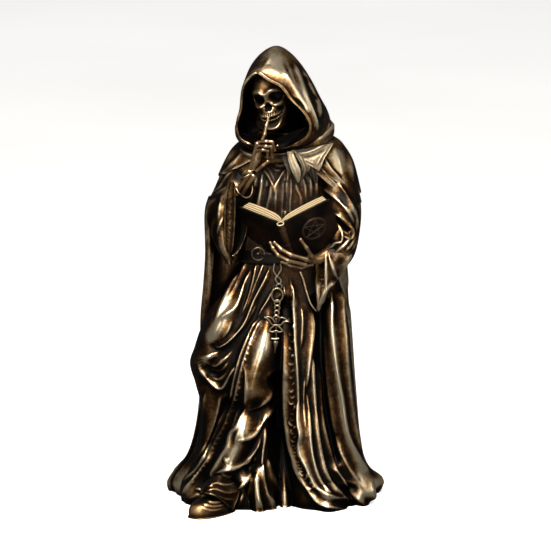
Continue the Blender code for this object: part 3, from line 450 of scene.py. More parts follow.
def patina(name, tones, metal, gloss, greyed=None, mottle=0.34, mottle_mm=4.5, grain=0.24,
           shade_reach=0.010, bump=0.0, bump_mm=1.1, specular=0.5):
    """Cold-cast metal whose hollows keep a dark patina and whose crests are rubbed bright.

    tones are the colours from hollow to crest, metal the metallic values of hollow and crest, and gloss
    their roughness. Mottles, the finer grain in them and broad greyed patches vary the tone by place,
    and corners that nearby parts hide are darkened with painted shade. The grain and the pits are
    coarser than on the casting, so that they show.
    """
    material = bpy.data.materials.new(name)
    material.use_nodes = True
    tree = material.node_tree
    tree.nodes.clear()
    where = node(tree, "ShaderNodeTexCoord").outputs["Object"]
    tone = node(tree, "ShaderNodeAttribute", attribute_name="relief").outputs["Fac"]
    for size_mm, detail, rough, share in ((mottle_mm, 5, 0.65, mottle),
                                          (mottle_mm / SPECKS_PER_MOTTLE, 3, 0.6, grain)):
        cloud = node(tree, "ShaderNodeTexNoise",
                     {"Vector": where, "Scale": 1000 / size_mm, "Detail": detail, "Roughness": rough})
        tone = node(tree, "ShaderNodeMath", {0: cloud.outputs["Fac"], 1: share, 2: tone},
                    operation="MULTIPLY_ADD")
    tone = node(tree, "ShaderNodeMath", {0: tone, 1: (mottle + grain) / 2}, operation="SUBTRACT")
    # Painted shade: the tone is darkened where other surfaces lie within shade_reach, and metallic and
    # roughness follow it.
    shade = node(tree, "ShaderNodeAmbientOcclusion", {"Distance": shade_reach}, samples=8).outputs["AO"]
    lit = node(tree, "ShaderNodeValToRGB", {"Fac": shade}, stops=[(0.15, 0.0), (0.85, 1.0)])
    lit = node(tree, "ShaderNodeMath", {0: lit, 1: 1 - SHADED_TONE, 2: SHADED_TONE},
               operation="MULTIPLY_ADD")
    tone = node(tree, "ShaderNodeMath", {0: tone, 1: lit}, operation="MULTIPLY")
    colour = node(tree, "ShaderNodeValToRGB", {"Fac": tone}, stops=tones)
    if greyed:
        cloud = node(tree, "ShaderNodeTexNoise",
                     {"Vector": where, "Scale": 1000 / (MOTTLES_PER_PATCH * mottle_mm), "Detail": 3})
        share = node(tree, "ShaderNodeValToRGB", {"Fac": cloud.outputs["Fac"]},
                     stops=[(0.44, 0.0), (0.66, 0.6)])
        grey = node(tree, "ShaderNodeValToRGB", {"Fac": tone}, stops=greyed)
        colour = node(tree, "ShaderNodeMixRGB", {"Fac": share, "Color1": colour, "Color2": grey})
    metallic = node(tree, "ShaderNodeValToRGB", {"Fac": tone}, stops=[(0.25, metal[0]), (0.6, metal[1])])
    roughness = node(tree, "ShaderNodeValToRGB", {"Fac": tone}, stops=[(0.2, gloss[0]), (0.75, gloss[1])])
    inputs = {"Base Color": colour, "Metallic": metallic, "Roughness": roughness,
              "Specular IOR Level": specular}
    if bump:
        pores = node(tree, "ShaderNodeTexNoise", {"Vector": where, "Scale": 1000 / bump_mm, "Detail": 2})
        inputs["Normal"] = node(tree, "ShaderNodeBump", {"Height": pores.outputs["Fac"], "Strength": bump,
                                                         "Distance": PIT_DEPTH})
    shader = node(tree, "ShaderNodeBsdfPrincipled", inputs)
    node(tree, "ShaderNodeOutputMaterial", {"Surface": shader})
    return material


# Cold-cast bronze cloth, patinated and rubbed back: black-brown hollows, golden brown between them,
# crests worn to a pale shine, and patches where the bronze has gone grey.
bronze_cloth = patina(
    "rubbed_bronze_cloth",
    [(0.14, "030202"), (0.38, "0D0A07"), (0.51, "2F2013"),
     (0.61, "684626"), (0.72, "B59263"), (0.88, "FBEBCB")],
    metal=(0.8, 0.96), gloss=(0.48, 0.32),
    greyed=[(0.14, "030303"), (0.38, "0E0E0E"), (0.53, "2A2521"),
            (0.63, "554B41"), (0.74, "94856F"), (0.90, "F4E8D0")],
    bump=0.35, bump_mm=1.5)
# Cold-cast bronze scrollwork, worn by hands: a dull brown ground with paler curls.
bronze_trim = patina(
    "worn_bronze_scrollwork",
    [(0.20, "060403"), (0.38, "1C140C"), (0.50, "46341F"), (0.62, "87694A"), (0.80, "D8BF98")],
    metal=(0.85, 1.0), gloss=(0.5, 0.36), mottle=0.5)

# The robe's ovals from hem to neck: height, left, right, front, back, squareness.
ROBE = [
    (0, -95, 92, -60, 44, 2.5),
    (14, -98, 98, -60, 44, 2.5),
    (30, -90, 90, -59, 42, 2.5),
    (50, -82, 84.5, -58, 40, 2.5),
    (76, -78.5, 81, -57, 38, 2.4),
    (100, -77, 78, -56, 36, 2.4),
    (122, -82, 76, -56, 34, 2.4),
    (142, -87.5, 74, -56, 32, 2.4),
    (158, -83, 72.5, -54, 30, 2.4),
    (176, -77, 71, -50, 28, 2.3),
    (196, -68, 68, -46, 26, 2.3),
    (216, -56, 64, -41, 24, 2.3),
    (236, -44, 58, -36, 22, 2.3),
    (250, -38, 50, -33, 22, 2.2),
    (264, -38, 48, -32, 22, 2.2),
    (290, -40, 52, -31, 24, 2.2),
    (320, -42, 56, -29, 25, 2.2),
    (345, -36, 50, -23, 22, 2.1),
    (364, -18, 28, -12, 16, 2.0),
]
WAIST = 258
# Broad swells over the legs, and hollows beside them: path, height, width.
LEGS = [
    ([(-34, 218), (-52, 192), (-68, 166), (-76, 148)], 13, 15),
    ([(-64, 155), (-72, 144), (-66, 136)], 8, 12),
    ([(-6, 200), (-14, 160), (-22, 135), (-28, 108), (-32, 88)], 15, 14),
    ([(-28, 102), (-34, 76), (-46, 48), (-58, 26), (-66, 8)], 20, 13),
    ([(-38, 40), (-28, 10), (-16, -40)], 9, 13),
    ([(8, 210), (2, 120), (6, 60), (14, 10), (20, -60)], -12, 8),
    ([(41, 210), (42, 160), (45, 100), (58, 30)], -9, 6),
    ([(-72, 120), (-76, 60), (-94, 10), (-108, -30)], 6, 12),
    ([(60, 200), (68, 100), (80, 44), (88, 8), (102, -60)], 7, 12),
    ([(22, 100), (30, 50), (44, 10), (58, -40)], 10, 13),
    ([(-46, 108), (-56, 76), (-72, 42)], -9, 7),
    ([(-50, 128), (-62, 128), (-74, 116)], -5, 8),
    ([(-28, 44), (-28, 20), (-28, 0), (-27, -60)], -8, 5),
    ([(-1, 130), (-2, 90), (-1, 50), (1, 0), (4, -70)], -20, 6.5),
    ([(4, 70), (8, 34), (13, 0), (20, -70)], -8, 4),
    ([(-20, 38), (-21, 15), (-21, -5), (-21, -60)], 5, 5),
    ([(50, 20), (54, -10), (62, -70)], 8, 10),
    ([(68, 20), (74, -10), (86, -70)], -8, 8),
]
# Crests of the robe's folds, and the gap over the shoe: path, height, width.
FOLDS = [
    ([(-39.2, 240.4), (-50, 227), (-59.6, 214), (-67, 197.6), (-73, 175)], 4, 2.6),
    ([(-35, 231), (-42, 220), (-47.4, 210), (-56, 192), (-64.7, 174)], 4.4, 3.0),
    ([(-27, 232), (-31, 220), (-34, 213), (-42.3, 193.5), (-52, 185), (-64, 178)], 4.6, 3.0),
    ([(-21, 238), (-23, 226), (-25, 217), (-30, 200), (-38, 182)], 3.2, 2.0),
    ([(-13.7, 238), (-18, 226), (-22, 216), (-27, 202), (-33, 188)], 3.0, 1.8),
    ([(-31, 240), (-37, 225), (-44, 210), (-53, 196)], 2.4, 1.8),
    ([(-7.6, 234), (-11, 224), (-14.7, 216), (-23, 200), (-31.5, 180), (-39, 169.3), (-49, 159.3),
      (-57.5, 154), (-65, 155)], 5.4, 3.2),
    ([(-19, 200), (-28, 182), (-38, 166)], 3.0, 2.2),
    ([(-44.5, 182), (-50, 170), (-58, 159)], 2.6, 2.6),
    ([(-54, 150.5), (-63, 146.5), (-71.3, 143.3), (-79, 142)], 3.0, 2.6),
    ([(-43.5, 153), (-49, 145), (-54.4, 140), (-63, 135), (-72, 139.4)], 4.0, 2.8),
    ([(-79.5, 139), (-77.5, 134), (-73.5, 128), (-68.2, 121), (-62, 115), (-57.5, 112.7), (-53, 115),
      (-47, 125), (-41.4, 134), (-36.8, 145)], 5.8, 2.8),
    ([(-74, 134), (-68, 126), (-60, 121), (-52, 126), (-46, 136)], 2.6, 2.0),
    ([(-70, 136), (-64, 131), (-57, 130), (-51, 136), (-47, 144)], 2.2, 1.8),
    ([(-82, 128), (-79, 112), (-75, 100)], 2.6, 3.0),
    ([(-72, 110), (-75, 88), (-81, 68), (-90, 46), (-99, 28)], 2.0, 2.0),
    ([(-57, 106), (-63, 80), (-73, 54), (-86, 34), (-97, 20)], 2.0, 1.8),
    ([(-92, 38), (-98, 28), (-102, 20)], 3.4, 2.6),
    ([(-18.5, 183), (-25.3, 170), (-30.7, 157), (-36.4, 142.5), (-40.7, 126.4), (-45.2, 107.3),
      (-50.4, 90), (-59.4, 70), (-67, 53.3), (-73.2, 41), (-81, 29.5), (-88, 23), (-100, 14)], 5.0, 2.2),
    ([(-15.5, 182), (-22, 168), (-27.5, 155), (-32.6, 140), (-36.8, 124), (-41.2, 106), (-46.5, 88),
      (-55, 68), (-67, 44), (-77, 29.5), (-84, 20), (-98, 4)], 4.2, 2.0),
    ([(-61, 18), (-70, 12), (-80, 6), (-90, 1)], 2.4, 2.4),
    ([(-2.5, 216), (-8, 204), (-14.5, 192), (-21.5, 181)], 4.2, 2.4),
    ([(-34.5, 142), (-31.5, 126), (-31.6, 108), (-33, 92)], 2.6, 2.0),
    ([(2.7, 127.4), (-2, 118), (-6.2, 113), (-10, 105), (-14, 100), (-21.5, 93.5), (-31, 90)], 4.6, 2.6),
    ([(-3.2, 104), (-6.2, 96), (-10, 89), (-13.7, 82), (-22, 70), (-30.3, 63), (-44, 59)], 4.8, 2.6),
    ([(-15.6, 68), (-20, 57), (-25, 49.4), (-32, 41), (-40.3, 36), (-52.5, 31), (-67, 26)], 5.0, 2.6),
    ([(-54, 46), (-52, 41), (-51, 35)], 2.6, 1.8),
    ([(-21, 48), (-25, 36), (-29, 26.5), (-36.5, 15), (-42.6, 10.4), (-48.7, 9.6), (-56, 13),
      (-60.2, 16.5), (-65, 25)], 5.4, 2.6),
    ([(-45, 26), (-51, 22), (-57, 20)], 2.4, 1.8),
    ([(-59, 31), (-53, 24.5), (-46, 23)], 2.6, 1.6),
    ([(-84, 12), (-74, 10.4), (-64, 7.4), (-55, 1), (-47, -9), (-40, -24)], 4.4, 1.3),
    ([(-82, 8), (-73, 6), (-64, 2.6), (-57, -3.6), (-51, -12)], -5.0, 1.8),
    ([(-72, 22), (-69, 16), (-70, 10)], 2.4, 1.6),
    ([(-64, 18), (-60, 11), (-58, 3)], 2.0, 1.6),
    ([(-31.5, 95), (-36, 83), (-40.7, 73), (-46, 67), (-49.5, 54), (-55, 45), (-60.2, 36),
      (-65.2, 26.5), (-63, 18)], 4.0, 2.2),
    ([(-38.5, 95), (-42, 80), (-45.2, 70), (-50, 58), (-56, 48)], 2.6, 1.6),
    ([(-35, 84), (-40, 68), (-44, 54)], 1.8, 3),
    ([(-13, 76), (-14.3, 60), (-15.4, 48), (-16, 36.4), (-16, 23), (-12, 7.3), (-8, -3),
      (-4, -40)], 4.6, 2.4),
    ([(-10.5, 44), (-9, 32), (-6, 21), (-1, 10), (6, -4), (12, -40)], 3.4, 2.2),
    ([(-24.2, 28), (-25.5, 18), (-26.5, 10), (-30, -4), (-34, -40)], 4.4, 2.4),
    ([(-21, 30), (-21, 14), (-19.5, 2), (-17, -8), (-14, -40)], 3.4, 2.0),
    ([(-35, 8), (-38, -2), (-41, -12), (-45, -40)], 3.6, 2.2),
    ([(1.8, 110), (-0.6, 88), (-2, 70), (-2.4, 54), (-2, 36.4), (1.5, 16), (6, -2),
      (10, -40)], 4.6, 2.6),
    ([(6, 100), (4, 70), (5, 44), (10, 20), (15, 3), (20, -40)], 2.6, 2.0),
    ([(5.4, 216), (8, 194), (8.5, 177), (8.7, 140), (8.5, 90), (10.7, 69.4), (12.7, 56),
      (16.5, 45), (19.5, 35), (22.6, 26), (28, 16), (38, 2), (47, -4), (60, -8), (74, -12)], 5.6, 2.2),
    ([(14, 218), (16, 200), (17.2, 180), (17.5, 156.4), (18.8, 133.5), (20, 105), (20.3, 80),
      (22.4, 66), (21.5, 56), (23.6, 45), (28.7, 34), (33.3, 23.5), (39.4, 13), (51, 5),
      (68, 2), (84, 2)], 4.6, 2.2),
    ([(12, 222), (13.6, 210), (12, 200)], 2.2, 1.8),
    ([(23.4, 194), (24.2, 180), (23.6, 166), (22.6, 150)], 3.6, 2.6),
    ([(33.7, 192), (34, 174), (32.8, 158), (31.4, 145), (29.5, 126), (27.5, 108)], 4.6, 2.8),
    ([(27, 128), (25.4, 108), (25.8, 88), (28, 70)], 2.6, 2.2),
    ([(33.6, 148), (34, 126), (35, 108), (36.4, 88), (38, 69.4), (41, 50), (45.6, 31), (52.5, 17),
      (62, 6), (74, -10), (82, -40)], 5.0, 2.6),
    ([(28.6, 110), (29.4, 95), (30.6, 80), (31.8, 60), (34.6, 42), (39.4, 26), (46, 14), (56, 5)], 3.8, 2.4),
    ([(40, 138), (40, 114), (41.4, 90), (44.6, 70), (48.6, 54), (54.8, 35), (64.7, 20), (75.4, 7), (86, -6),
      (96, -40)], 5.0, 2.8),
    ([(52.8, 210), (53, 190), (53.6, 175), (54.8, 160), (56.7, 141), (59.3, 122), (63.2, 99),
      (65.5, 81), (68.5, 66), (74.7, 50), (81.5, 35), (87.7, 24), (92, 8), (98, -40)], 6.4, 3.6),
    ([(46, 170), (47, 150), (49, 120), (53, 90), (58, 60)], 2.0, 3.0),
    ([(56, 70), (63, 48), (72, 30), (84, 14)], 3.0, 3.4),
    ([(63, 216), (64, 187), (66, 164), (67.8, 133.5), (70.3, 108), (75, 76), (82, 48), (90, 30),
      (106, 2)], 4.6, 3.0),
    ([(69, 200), (70.6, 170), (72.6, 140), (76.6, 108), (82, 75), (88, 48), (102, 22)], 3.0, 2.4),
]
# Lapels, seams and creases of the vest.
VEST = [
    ([(-16, 334), (-12, 327), (-8, 320), (-4.6, 313), (-3.6, 304)], 2.0, 1.1),
    ([(9, 334), (5, 327), (1, 320), (-2.6, 313), (-3.6, 304)], 2.0, 1.1),
    ([(-14, 337), (-9.4, 330), (-5, 322), (-3, 316)], 1.0, 0.9),
    ([(10.4, 342), (10, 330), (9, 315), (7.6, 300), (6.6, 276)], 2.6, 1.1),
    ([(7.4, 328), (6.2, 314), (4.4, 296), (3.4, 276)], 1.0, 0.8),
    ([(-1.4, 314), (-2.4, 300), (-3, 278)], 0.9, 0.8),
    ([(-6.2, 320), (-7.6, 306), (-11, 292), (-15, 276)], 1.8, 1.2),
    ([(-15.4, 328), (-17, 312), (-19.4, 296), (-22, 278)], 1.8, 1.2),
    ([(-11.2, 322), (-12.4, 304), (-15.6, 284)], 0.8, 0.9),
    ([(-22, 324), (-23, 310), (-25, 294), (-28, 278)], 1.5, 1.2),
    ([(-6, 344), (-1, 339.4), (5, 339), (11, 343)], 1.8, 1.0),
    ([(-8, 340), (-1, 334.4), (6, 334.6), (12, 339)], 1.5, 0.9),
    ([(-9, 335), (-2, 329.4), (5, 329.6)], 1.0, 0.8),
    ([(17, 318), (19, 310), (22.6, 301), (23, 286)], 1.5, 1.2),
    ([(12.6, 324), (13, 310), (12, 296), (12, 280)], 1.3, 1.1),
    ([(25, 322), (27, 312), (28, 296)], 1.7, 1.4),
    ([(31, 328), (32.6, 316), (33, 300)], 1.9, 1.5),
    ([(37, 326), (38.6, 316), (39, 300)], 1.5, 1.5),
    ([(-28, 268), (-31, 256), (-33, 238)], 1.4, 1.3),
    ([(-16, 266), (-17, 254), (-19, 238)], 1.1, 1.2),
    ([(-6, 264), (-6, 252), (-7, 236)], 1.3, 1.2),
]
VEST_SWELLS = [
    ([(-1, 322), (-2.5, 305), (-4, 286)], 3.0, 6),
    ([(-16, 322), (-18, 305), (-21, 286)], 1.6, 3.0),
    ([(8, 320), (7.4, 305), (6.6, 286)], -1.8, 1.8),
    ([(-10.4, 314), (-12.4, 300), (-16, 286)], -1.8, 1.6),
    ([(-22, 314), (-24, 300), (-26, 286)], -2.2, 2.0),
]
# Middle lines of the two scrollwork borders.
STOLE = [(10.5, 200), (13, 170), (13, 130), (14, 95), (15.4, 68), (18, 48), (24, 30), (33, 13)]
ROBE_BORDER = [(-26, 161), (-34.6, 132), (-43.4, 98), (-57.5, 66), (-71.5, 39), (-86, 19)]
FOLD_HEIGHT = 0.8
FOLD_WIDTH = 0.72
HEM_LIP = 1.3
HEM_LIP_HEIGHT = 2.2


def finer(strokes):
    """Folds as the carver finishes them: lower and thinner than they were first laid out."""
    return [(path, FOLD_HEIGHT * height, FOLD_WIDTH * width) for path, height, width in strokes]


def scrollwork(path, count, size, height):
    """Worn curls that wander from side to side along a border, as strokes."""
    chance = np.random.default_rng(count)
    line = spline(path, count)
    along = np.gradient(line, axis=0)
    along /= np.linalg.norm(along, axis=1, keepdims=True)
    strokes = []
    for index, (middle, run) in enumerate(zip(line, along)):
        side = np.array([-run[1], run[0]]) * (1 if index % 2 else -1)
        start, grow, nudge = chance.uniform(-2.2, 0.2), chance.uniform(0.7, 1.3), chance.uniform(0.3, 1.0)
        centre = middle + side * chance.uniform(-0.6, 0.6)
        curl = [centre + size * grow * (math.cos(turn) * side * (1.1 - 0.12 * turn) + math.sin(turn) * run)
                for turn in np.linspace(start, start + 4.2, 6)]
        strokes.append(([tuple(point) for point in curl], nudge * height, 0.6))
    return strokes


ornament = scrollwork(STOLE, 40, 2.2, 1.9) + scrollwork(ROBE_BORDER, 30, 1.3, 1.2)
robe_grid = loft(ROBE, rows=250, cols=330, front_share=0.76, low=0, high=WAIST + 4)
robe_grid = carve_front(robe_grid, LEGS, finer(FOLDS))
front_weight = smooth_step(0.0, 0.35, outward(robe_grid) @ TO_VIEWER)
robe_grid += outward(robe_grid) * (carving(elevation(robe_grid), ornament) * front_weight)[..., None]
robe_grid = drape(robe_grid, folds=9, depth=5.0, hem_height=300)
robe_grid += outward(robe_grid) * (HEM_LIP * np.exp(-(robe_grid[..., 2] / HEM_LIP_HEIGHT) ** 2))[..., None]
robe = grid_mesh(robe_grid)
cast("robe", [robe], bronze_cloth)

# Cold-cast bronze modelled as a leather vest: dull grey, pitted, with orange-brown where it is less worn.
vest_leather = patina(
    "greyed_bronze_vest",
    [(0.16, "070605"), (0.38, "1C1713"), (0.52, "3E352C"), (0.68, "77695A"), (0.95, "C9BBA4")],
    metal=(0.5, 0.95), gloss=(0.55, 0.36),
    greyed=[(0.16, "080402"), (0.38, "2C180B"), (0.52, "643A1C"), (0.68, "9A6C40"), (0.95, "DCBC8C")],
    mottle=0.45, mottle_mm=2.4, bump=0.4)
vest_grid = loft(ROBE, rows=120, cols=170, front_share=0.7, low=WAIST - 6)
vest_grid = carve_front(vest_grid, VEST_SWELLS, VEST)
vest = grid_mesh(vest_grid)
cast("vest", [vest], vest_leather)


# Cloak
# A heavy cloak, cast in one with the robe, hangs from the shoulders to the floor behind it. Its front
# edges turn forward at the sides, and the folds down its back are cut with a round gouge.

CLOAK = [
    (0, -103, 96, -22, 68, 2.5),
    (12, -107, 104, -16, 72, 2.5),
    (26, -98, 91, -12, 68, 2.5),
    (40, -88, 84.5, -11, 64, 2.4),
    (60, -81, 81, -10, 60, 2.4),
    (90, -76, 78, -8, 56, 2.4),
    (130, -74, 74.5, -6, 52, 2.4),
    (180, -76, 71.5, -6, 48, 2.4),
    (240, -71.5, 69, -5, 45, 2.4),
    (290, -70, 74, -5, 43, 2.3),
    (316, -58, 72, -7, 41, 2.3),
    (342, -48, 68, -10, 37, 2.2),
    (358, -36, 58, -10, 32, 2.2),
    (368, -20, 42, -8, 26, 2.0),
]
CLOAK_EDGE = [
    (140, -77, -68, 0, 30, 3),
    (176, -77, -67, -8, 30, 3),
    (210, -75.5, -66, -14, 28, 3),
    (250, -73, -64, -18, 26, 3),
    (290, -73.5, -63, -19, 24, 3),
    (306, -70, -60, -14, 20, 3),
]
CLOAK_FOLDS = [
    ([(-68, 288), (-68, 260), (-68, 220), (-69, 170)], 2.2, 1.2),
    ([(-65, 264), (-64.4, 238), (-65, 208), (-67, 184)], 1.4, 1.0),
    ([(-71.5, 272), (-71.5, 238), (-73.4, 208), (-75.4, 178)], 1.6, 1.6),
    ([(-81.4, 110), (-79, 96), (-82, 76), (-88, 54), (-98, 34)], 2.4, 2.4),
    ([(-92, 42), (-100, 30), (-104, 18)], 2.6, 2.2),
    ([(72, 200), (74, 150), (79, 100), (86, 60), (97, 30), (108, 11)], 3.4, 2.4),
    ([(77, 250), (71, 230), (69, 210)], 2.0, 2.4),
]
cloak_grid = carve_front(loft(CLOAK, rows=190, cols=240, front_share=0.4), [], finer(CLOAK_FOLDS))
cloak_grid = drape(cloak_grid, folds=12, depth=8.0, hem_height=330)
edge_grid = carve_front(loft(CLOAK_EDGE, rows=90, cols=60), [], finer(CLOAK_FOLDS))
cast("cloak", [grid_mesh(cloak_grid), grid_mesh(edge_grid)], bronze_cloth)


# Sleeves
# Wide sleeves, cast with the robe: the raised one falls back from the wrist into a deep mouth with a
# bordered edge, and the other crumples over the arm that carries the book and hangs in a point.

RAISED_SLEEVE = [
    (246, -50, -46, -43, -32, 2.2),
    (252, -55, -44, -43, -22, 2.2),
    (262, -62, -42.5, -44, -4, 2.2),
    (280, -69, -42, -44, 12, 2.2),
    (296, -70.5, -41.5, -44, 16, 2.2),
    (307, -67, -38, -43, 18, 2.2),
    (320, -59, -29, -38, 20, 2.2),
    (336, -51, -22, -28, 20, 2.2),
    (350, -42, -18, -16, 14, 2.2),
]
RAISED_SLEEVE_FOLDS = [
    ([(-59, 304), (-66.2, 294), (-68.5, 280), (-68.5, 266)], 3.4, 2.2),
    ([(-55, 306), (-58, 292), (-59, 278)], 1.6, 1.4),
    ([(-54, 283), (-58, 274), (-61, 264)], 2.4, 1.8),
    ([(-50, 314), (-62, 304), (-70, 294)], 2.0, 1.8),
    ([(-64, 284), (-64.4, 270), (-63, 256)], 1.8, 1.6),
]
SLEEVE_BORDER = [(-47.5, 306), (-47.7, 285), (-48.2, 266), (-49, 253)]
SLEEVE_BAND = [
    [(-48.5, 316, -44), (-46, 317, -46), (-43, 316, -46)],
    [(-52, 304, -45), (-47.4, 304, -47.5), (-42.2, 304, -46)],
    [(-53.2, 288, -45), (-47.8, 288, -47.5), (-42.2, 288, -46)],
    [(-53.4, 270, -45), (-48.4, 270, -47.5), (-43, 270, -46)],
    [(-53.2, 256, -45), (-48.8, 255, -47.5), (-44.2, 256, -46)],
    [(-50.4, 248, -45), (-48, 246, -46.5), (-45.4, 248, -45)],
]
SLEEVE_BAND_EDGES = [
    ([(-49, 319), (-52, 304), (-53.1, 288), (-53.2, 270), (-53, 256), (-50, 246)], 1.1, 0.8),
    ([(-43, 320), (-42.4, 304), (-42.4, 288), (-43.2, 270), (-44.4, 256), (-46.4, 246)], 2.0, 0.9),
]
SLEEVE_RIM = [(-43.4, 315, -42), (-41.4, 310.4, -47), (-38, 305.6, -49), (-32, 301.8, -49),
              (-27.2, 303.8, -47), (-25.4, 310, -44), (-26.4, 316, -40)]
SLEEVE_LINING = [
    [(-44, 312, -40), (-35, 306, -38), (-26.4, 312, -36)],
    [(-43, 296, -41), (-35, 294, -36), (-28, 296, -35)],
    [(-43, 278, -41), (-37, 276, -36), (-31, 278, -34)],
    [(-44, 262, -42), (-39, 260, -38), (-34, 262, -36)],
    [(-47, 246, -43), (-44, 244, -42), (-41, 246, -41)],
]
FAR_RIM = [(-28.4, 294, -37), (-29.4, 284, -36), (-30.4, 276, -35), (-32.6, 264, -36), (-37, 253, -39),
           (-41.4, 246.4, -42), (-45.4, 244, -44)]
BOOK_SLEEVE = [
    (236, 50, 62, -40, -8, 2.2),
    (246, 44, 72, -46, 4, 2.2),
    (256, 43, 77.5, -48, 12, 2.2),
    (272, 45, 81, -48, 18, 2.2),
    (292, 47, 83, -45, 22, 2.2),
    (310, 46, 81.5, -40, 24, 2.2),
    (328, 42, 76, -33, 24, 2.2),
    (346, 36, 69, -22, 22, 2.2),
    (360, 26, 60, -10, 16, 2.2),
]
BOOK_SLEEVE_SWELLS = [
    ([(56, 281), (62, 278), (68, 272), (70, 266)], -7, 3.0),
    ([(66, 304), (72, 292), (74, 280)], 3, 6),
]
BOOK_SLEEVE_FOLDS = [
    ([(41, 316), (52, 306), (62, 296.4), (70, 287), (76, 274)], 2.8, 1.6),
    ([(54, 287), (61, 283.4), (67, 278.6), (72.6, 272), (74, 266), (70.6, 261), (62, 266)], 3.6, 1.1),
    ([(58, 318), (66, 307), (73, 294), (78, 279), (79, 264)], 2.0, 1.6),
    ([(62, 270), (63.8, 264), (62.4, 258), (57, 256.6), (53, 252), (43, 247.4), (34, 244)], 4.2, 1.5),
    ([(72, 267), (67, 256), (56, 248)], 3.0, 1.7),
    ([(69, 260), (62, 251), (50, 244)], 2.2, 1.4),
    ([(80, 300), (80.8, 284), (79, 266), (73, 248)], 2.2, 1.6),
    ([(75, 294), (78, 278), (75, 260), (67, 248)], 2.0, 1.4),
]
HANGING_SLEEVE = [
    (199, 38, 40.5, -46, -41, 2.2),
    (211, 38, 46, -50, -34, 2.2),
    (223, 38, 52, -52, -26, 2.2),
    (234, 38.5, 60, -52, -18, 2.2),
    (247, 38, 69, -52, -10, 2.2),
    (258, 37, 73, -50, -6, 2.2),
    (268, 42, 71, -44, -4, 2.2),
]
HANGING_SLEEVE_FOLDS = [
    ([(37.7, 250), (40, 239), (39, 227), (40, 210.5), (40.6, 197), (39.5, 187)], 3.2, 1.6),
    ([(47.6, 250), (47.8, 230), (47, 210), (42, 194)], 3.2, 1.6),
    ([(49, 250), (53, 235.4), (57.6, 223), (59, 217)], 3.0, 1.8),
    ([(75, 253), (68, 238), (57.6, 220.4), (50, 214), (44, 204), (40, 189)], 3.8, 1.8),
]
HANGING_BORDER = [(43.5, 242), (43.6, 228), (43.5, 214), (42.4, 202)]
BACK_EDGE = [(22, 228, -38), (25, 221, -40), (28.6, 208, -43), (32.7, 196.4, -44), (38.5, 189, -44)]
RIM_RADIUS = 0.75
FAR_RIM_RADIUS = 0.7
BACK_EDGE_RADIUS = 1.3
BAND_DEPTH = 2.4
LINING_DEPTH = 1.5
FINE_WINDOW = RELIEF_WINDOWS[:1]


def rod(knots, radii, cols=16, rows_each=8, closed=False):
    """A round rod along grid points, swelling and thinning with its radii, as a closed mesh."""
    radii = np.broadcast_to(np.asarray(radii, float), len(knots))
    line = np.concatenate([place(knots), radii[:, None]], 1)
    fine = spline(line, len(knots) * rows_each, closed)
    path = fine[:, :3]
    run = np.roll(path, -1, 0) - np.roll(path, 1, 0) if closed else np.gradient(path, axis=0)
    run /= np.maximum(np.linalg.norm(run, axis=1, keepdims=True), 1e-9)
    middle = path.mean(axis=0)
    side = np.cross(run[0], [0.0, 0.0, 1.0] if abs(run[0][2]) < 0.9 else [1.0, 0.0, 0.0])
    sides = []
    for along in run:
        side = side - along * (side @ along)
        side = side / np.linalg.norm(side)
        sides.append(side)
    if closed:
        sides = [np.cross(along, np.cross(point - middle, along)) for along, point in zip(run, path)]
        sides = [side / np.linalg.norm(side) for side in sides]
    sides = np.array(sides)
    lifts = np.cross(run, sides)
    turn = np.linspace(0, 2 * math.pi, cols, endpoint=False)[None, :, None]
    grid = path[:, None] + fine[:, None, 3:] * (np.cos(turn) * sides[:, None] + np.sin(turn) * lifts[:, None])
    if not closed:
        ends = [grid[:1] * 0.5 + path[:1, None] * 0.5 - run[0] * fine[0, 3] * 0.35,
                grid[-1:] * 0.5 + path[-1:, None] * 0.5 + run[-1] * fine[-1, 3] * 0.35]
        grid = np.concatenate([ends[0], grid, ends[1]])
    return grid_mesh(grid, ring_rows=closed)


def plate(net, rows, cols, thickness, strokes=()):
    """A smooth plate over an open net of grid points, thickened backwards and carved on its front."""
    across = spline(np.asarray(net, float).transpose(1, 0, 2), cols)
    front = place(spline(across.transpose(1, 0, 2), rows))
    back = front + np.array([0.0, thickness, 0.0])
    front = front + TO_VIEWER * carving(elevation(front), strokes)[..., None]
    return np.concatenate([front, back[:, ::-1]], axis=1)


raised_grid = loft(RAISED_SLEEVE, rows=130, cols=170, front_share=0.7)
raised_grid = carve_front(raised_grid, [], finer(RAISED_SLEEVE_FOLDS))
sleeve_rims = [rod(SLEEVE_RIM, RIM_RADIUS), rod(FAR_RIM, FAR_RIM_RADIUS)]
cast("raised_sleeve", [grid_mesh(raised_grid)] + sleeve_rims, bronze_cloth)
book_arm = loft(BOOK_SLEEVE, rows=160, cols=190, front_share=0.7)
book_arm = carve_front(book_arm, BOOK_SLEEVE_SWELLS, finer(BOOK_SLEEVE_FOLDS))
hanging = loft(HANGING_SLEEVE, rows=110, cols=120, front_share=0.7)
hanging_folds = HANGING_SLEEVE_FOLDS + scrollwork(HANGING_BORDER, 12, 1.8, 1.3)
hanging = carve_front(hanging, [], finer(hanging_folds))
cast("book_sleeve", [grid_mesh(book_arm), grid_mesh(hanging), rod(BACK_EDGE, BACK_EDGE_RADIUS)],
     bronze_cloth)
band_strokes = SLEEVE_BAND_EDGES + scrollwork(SLEEVE_BORDER, 22, 1.8, 0.5)
band = plate(SLEEVE_BAND, 110, 30, BAND_DEPTH, band_strokes)
cast("sleeve_band", [grid_mesh(band, nudge=-0.04, windows=FINE_WINDOW)], bronze_trim)
# The sleeve's lining is darkened: painted shade inside the sleeve's mouth.
lining = plate(SLEEVE_LINING, 60, 24, LINING_DEPTH)
cast("sleeve_lining", [grid_mesh(lining, nudge=-0.30, windows=FINE_WINDOW)], bronze_cloth)


# Capes
# Two short capes with torn lower edges lie over the shoulders, one on the other, cast in one with the
# cloak. A pointed flap and four ragged strips lie over the breast on the book's side.

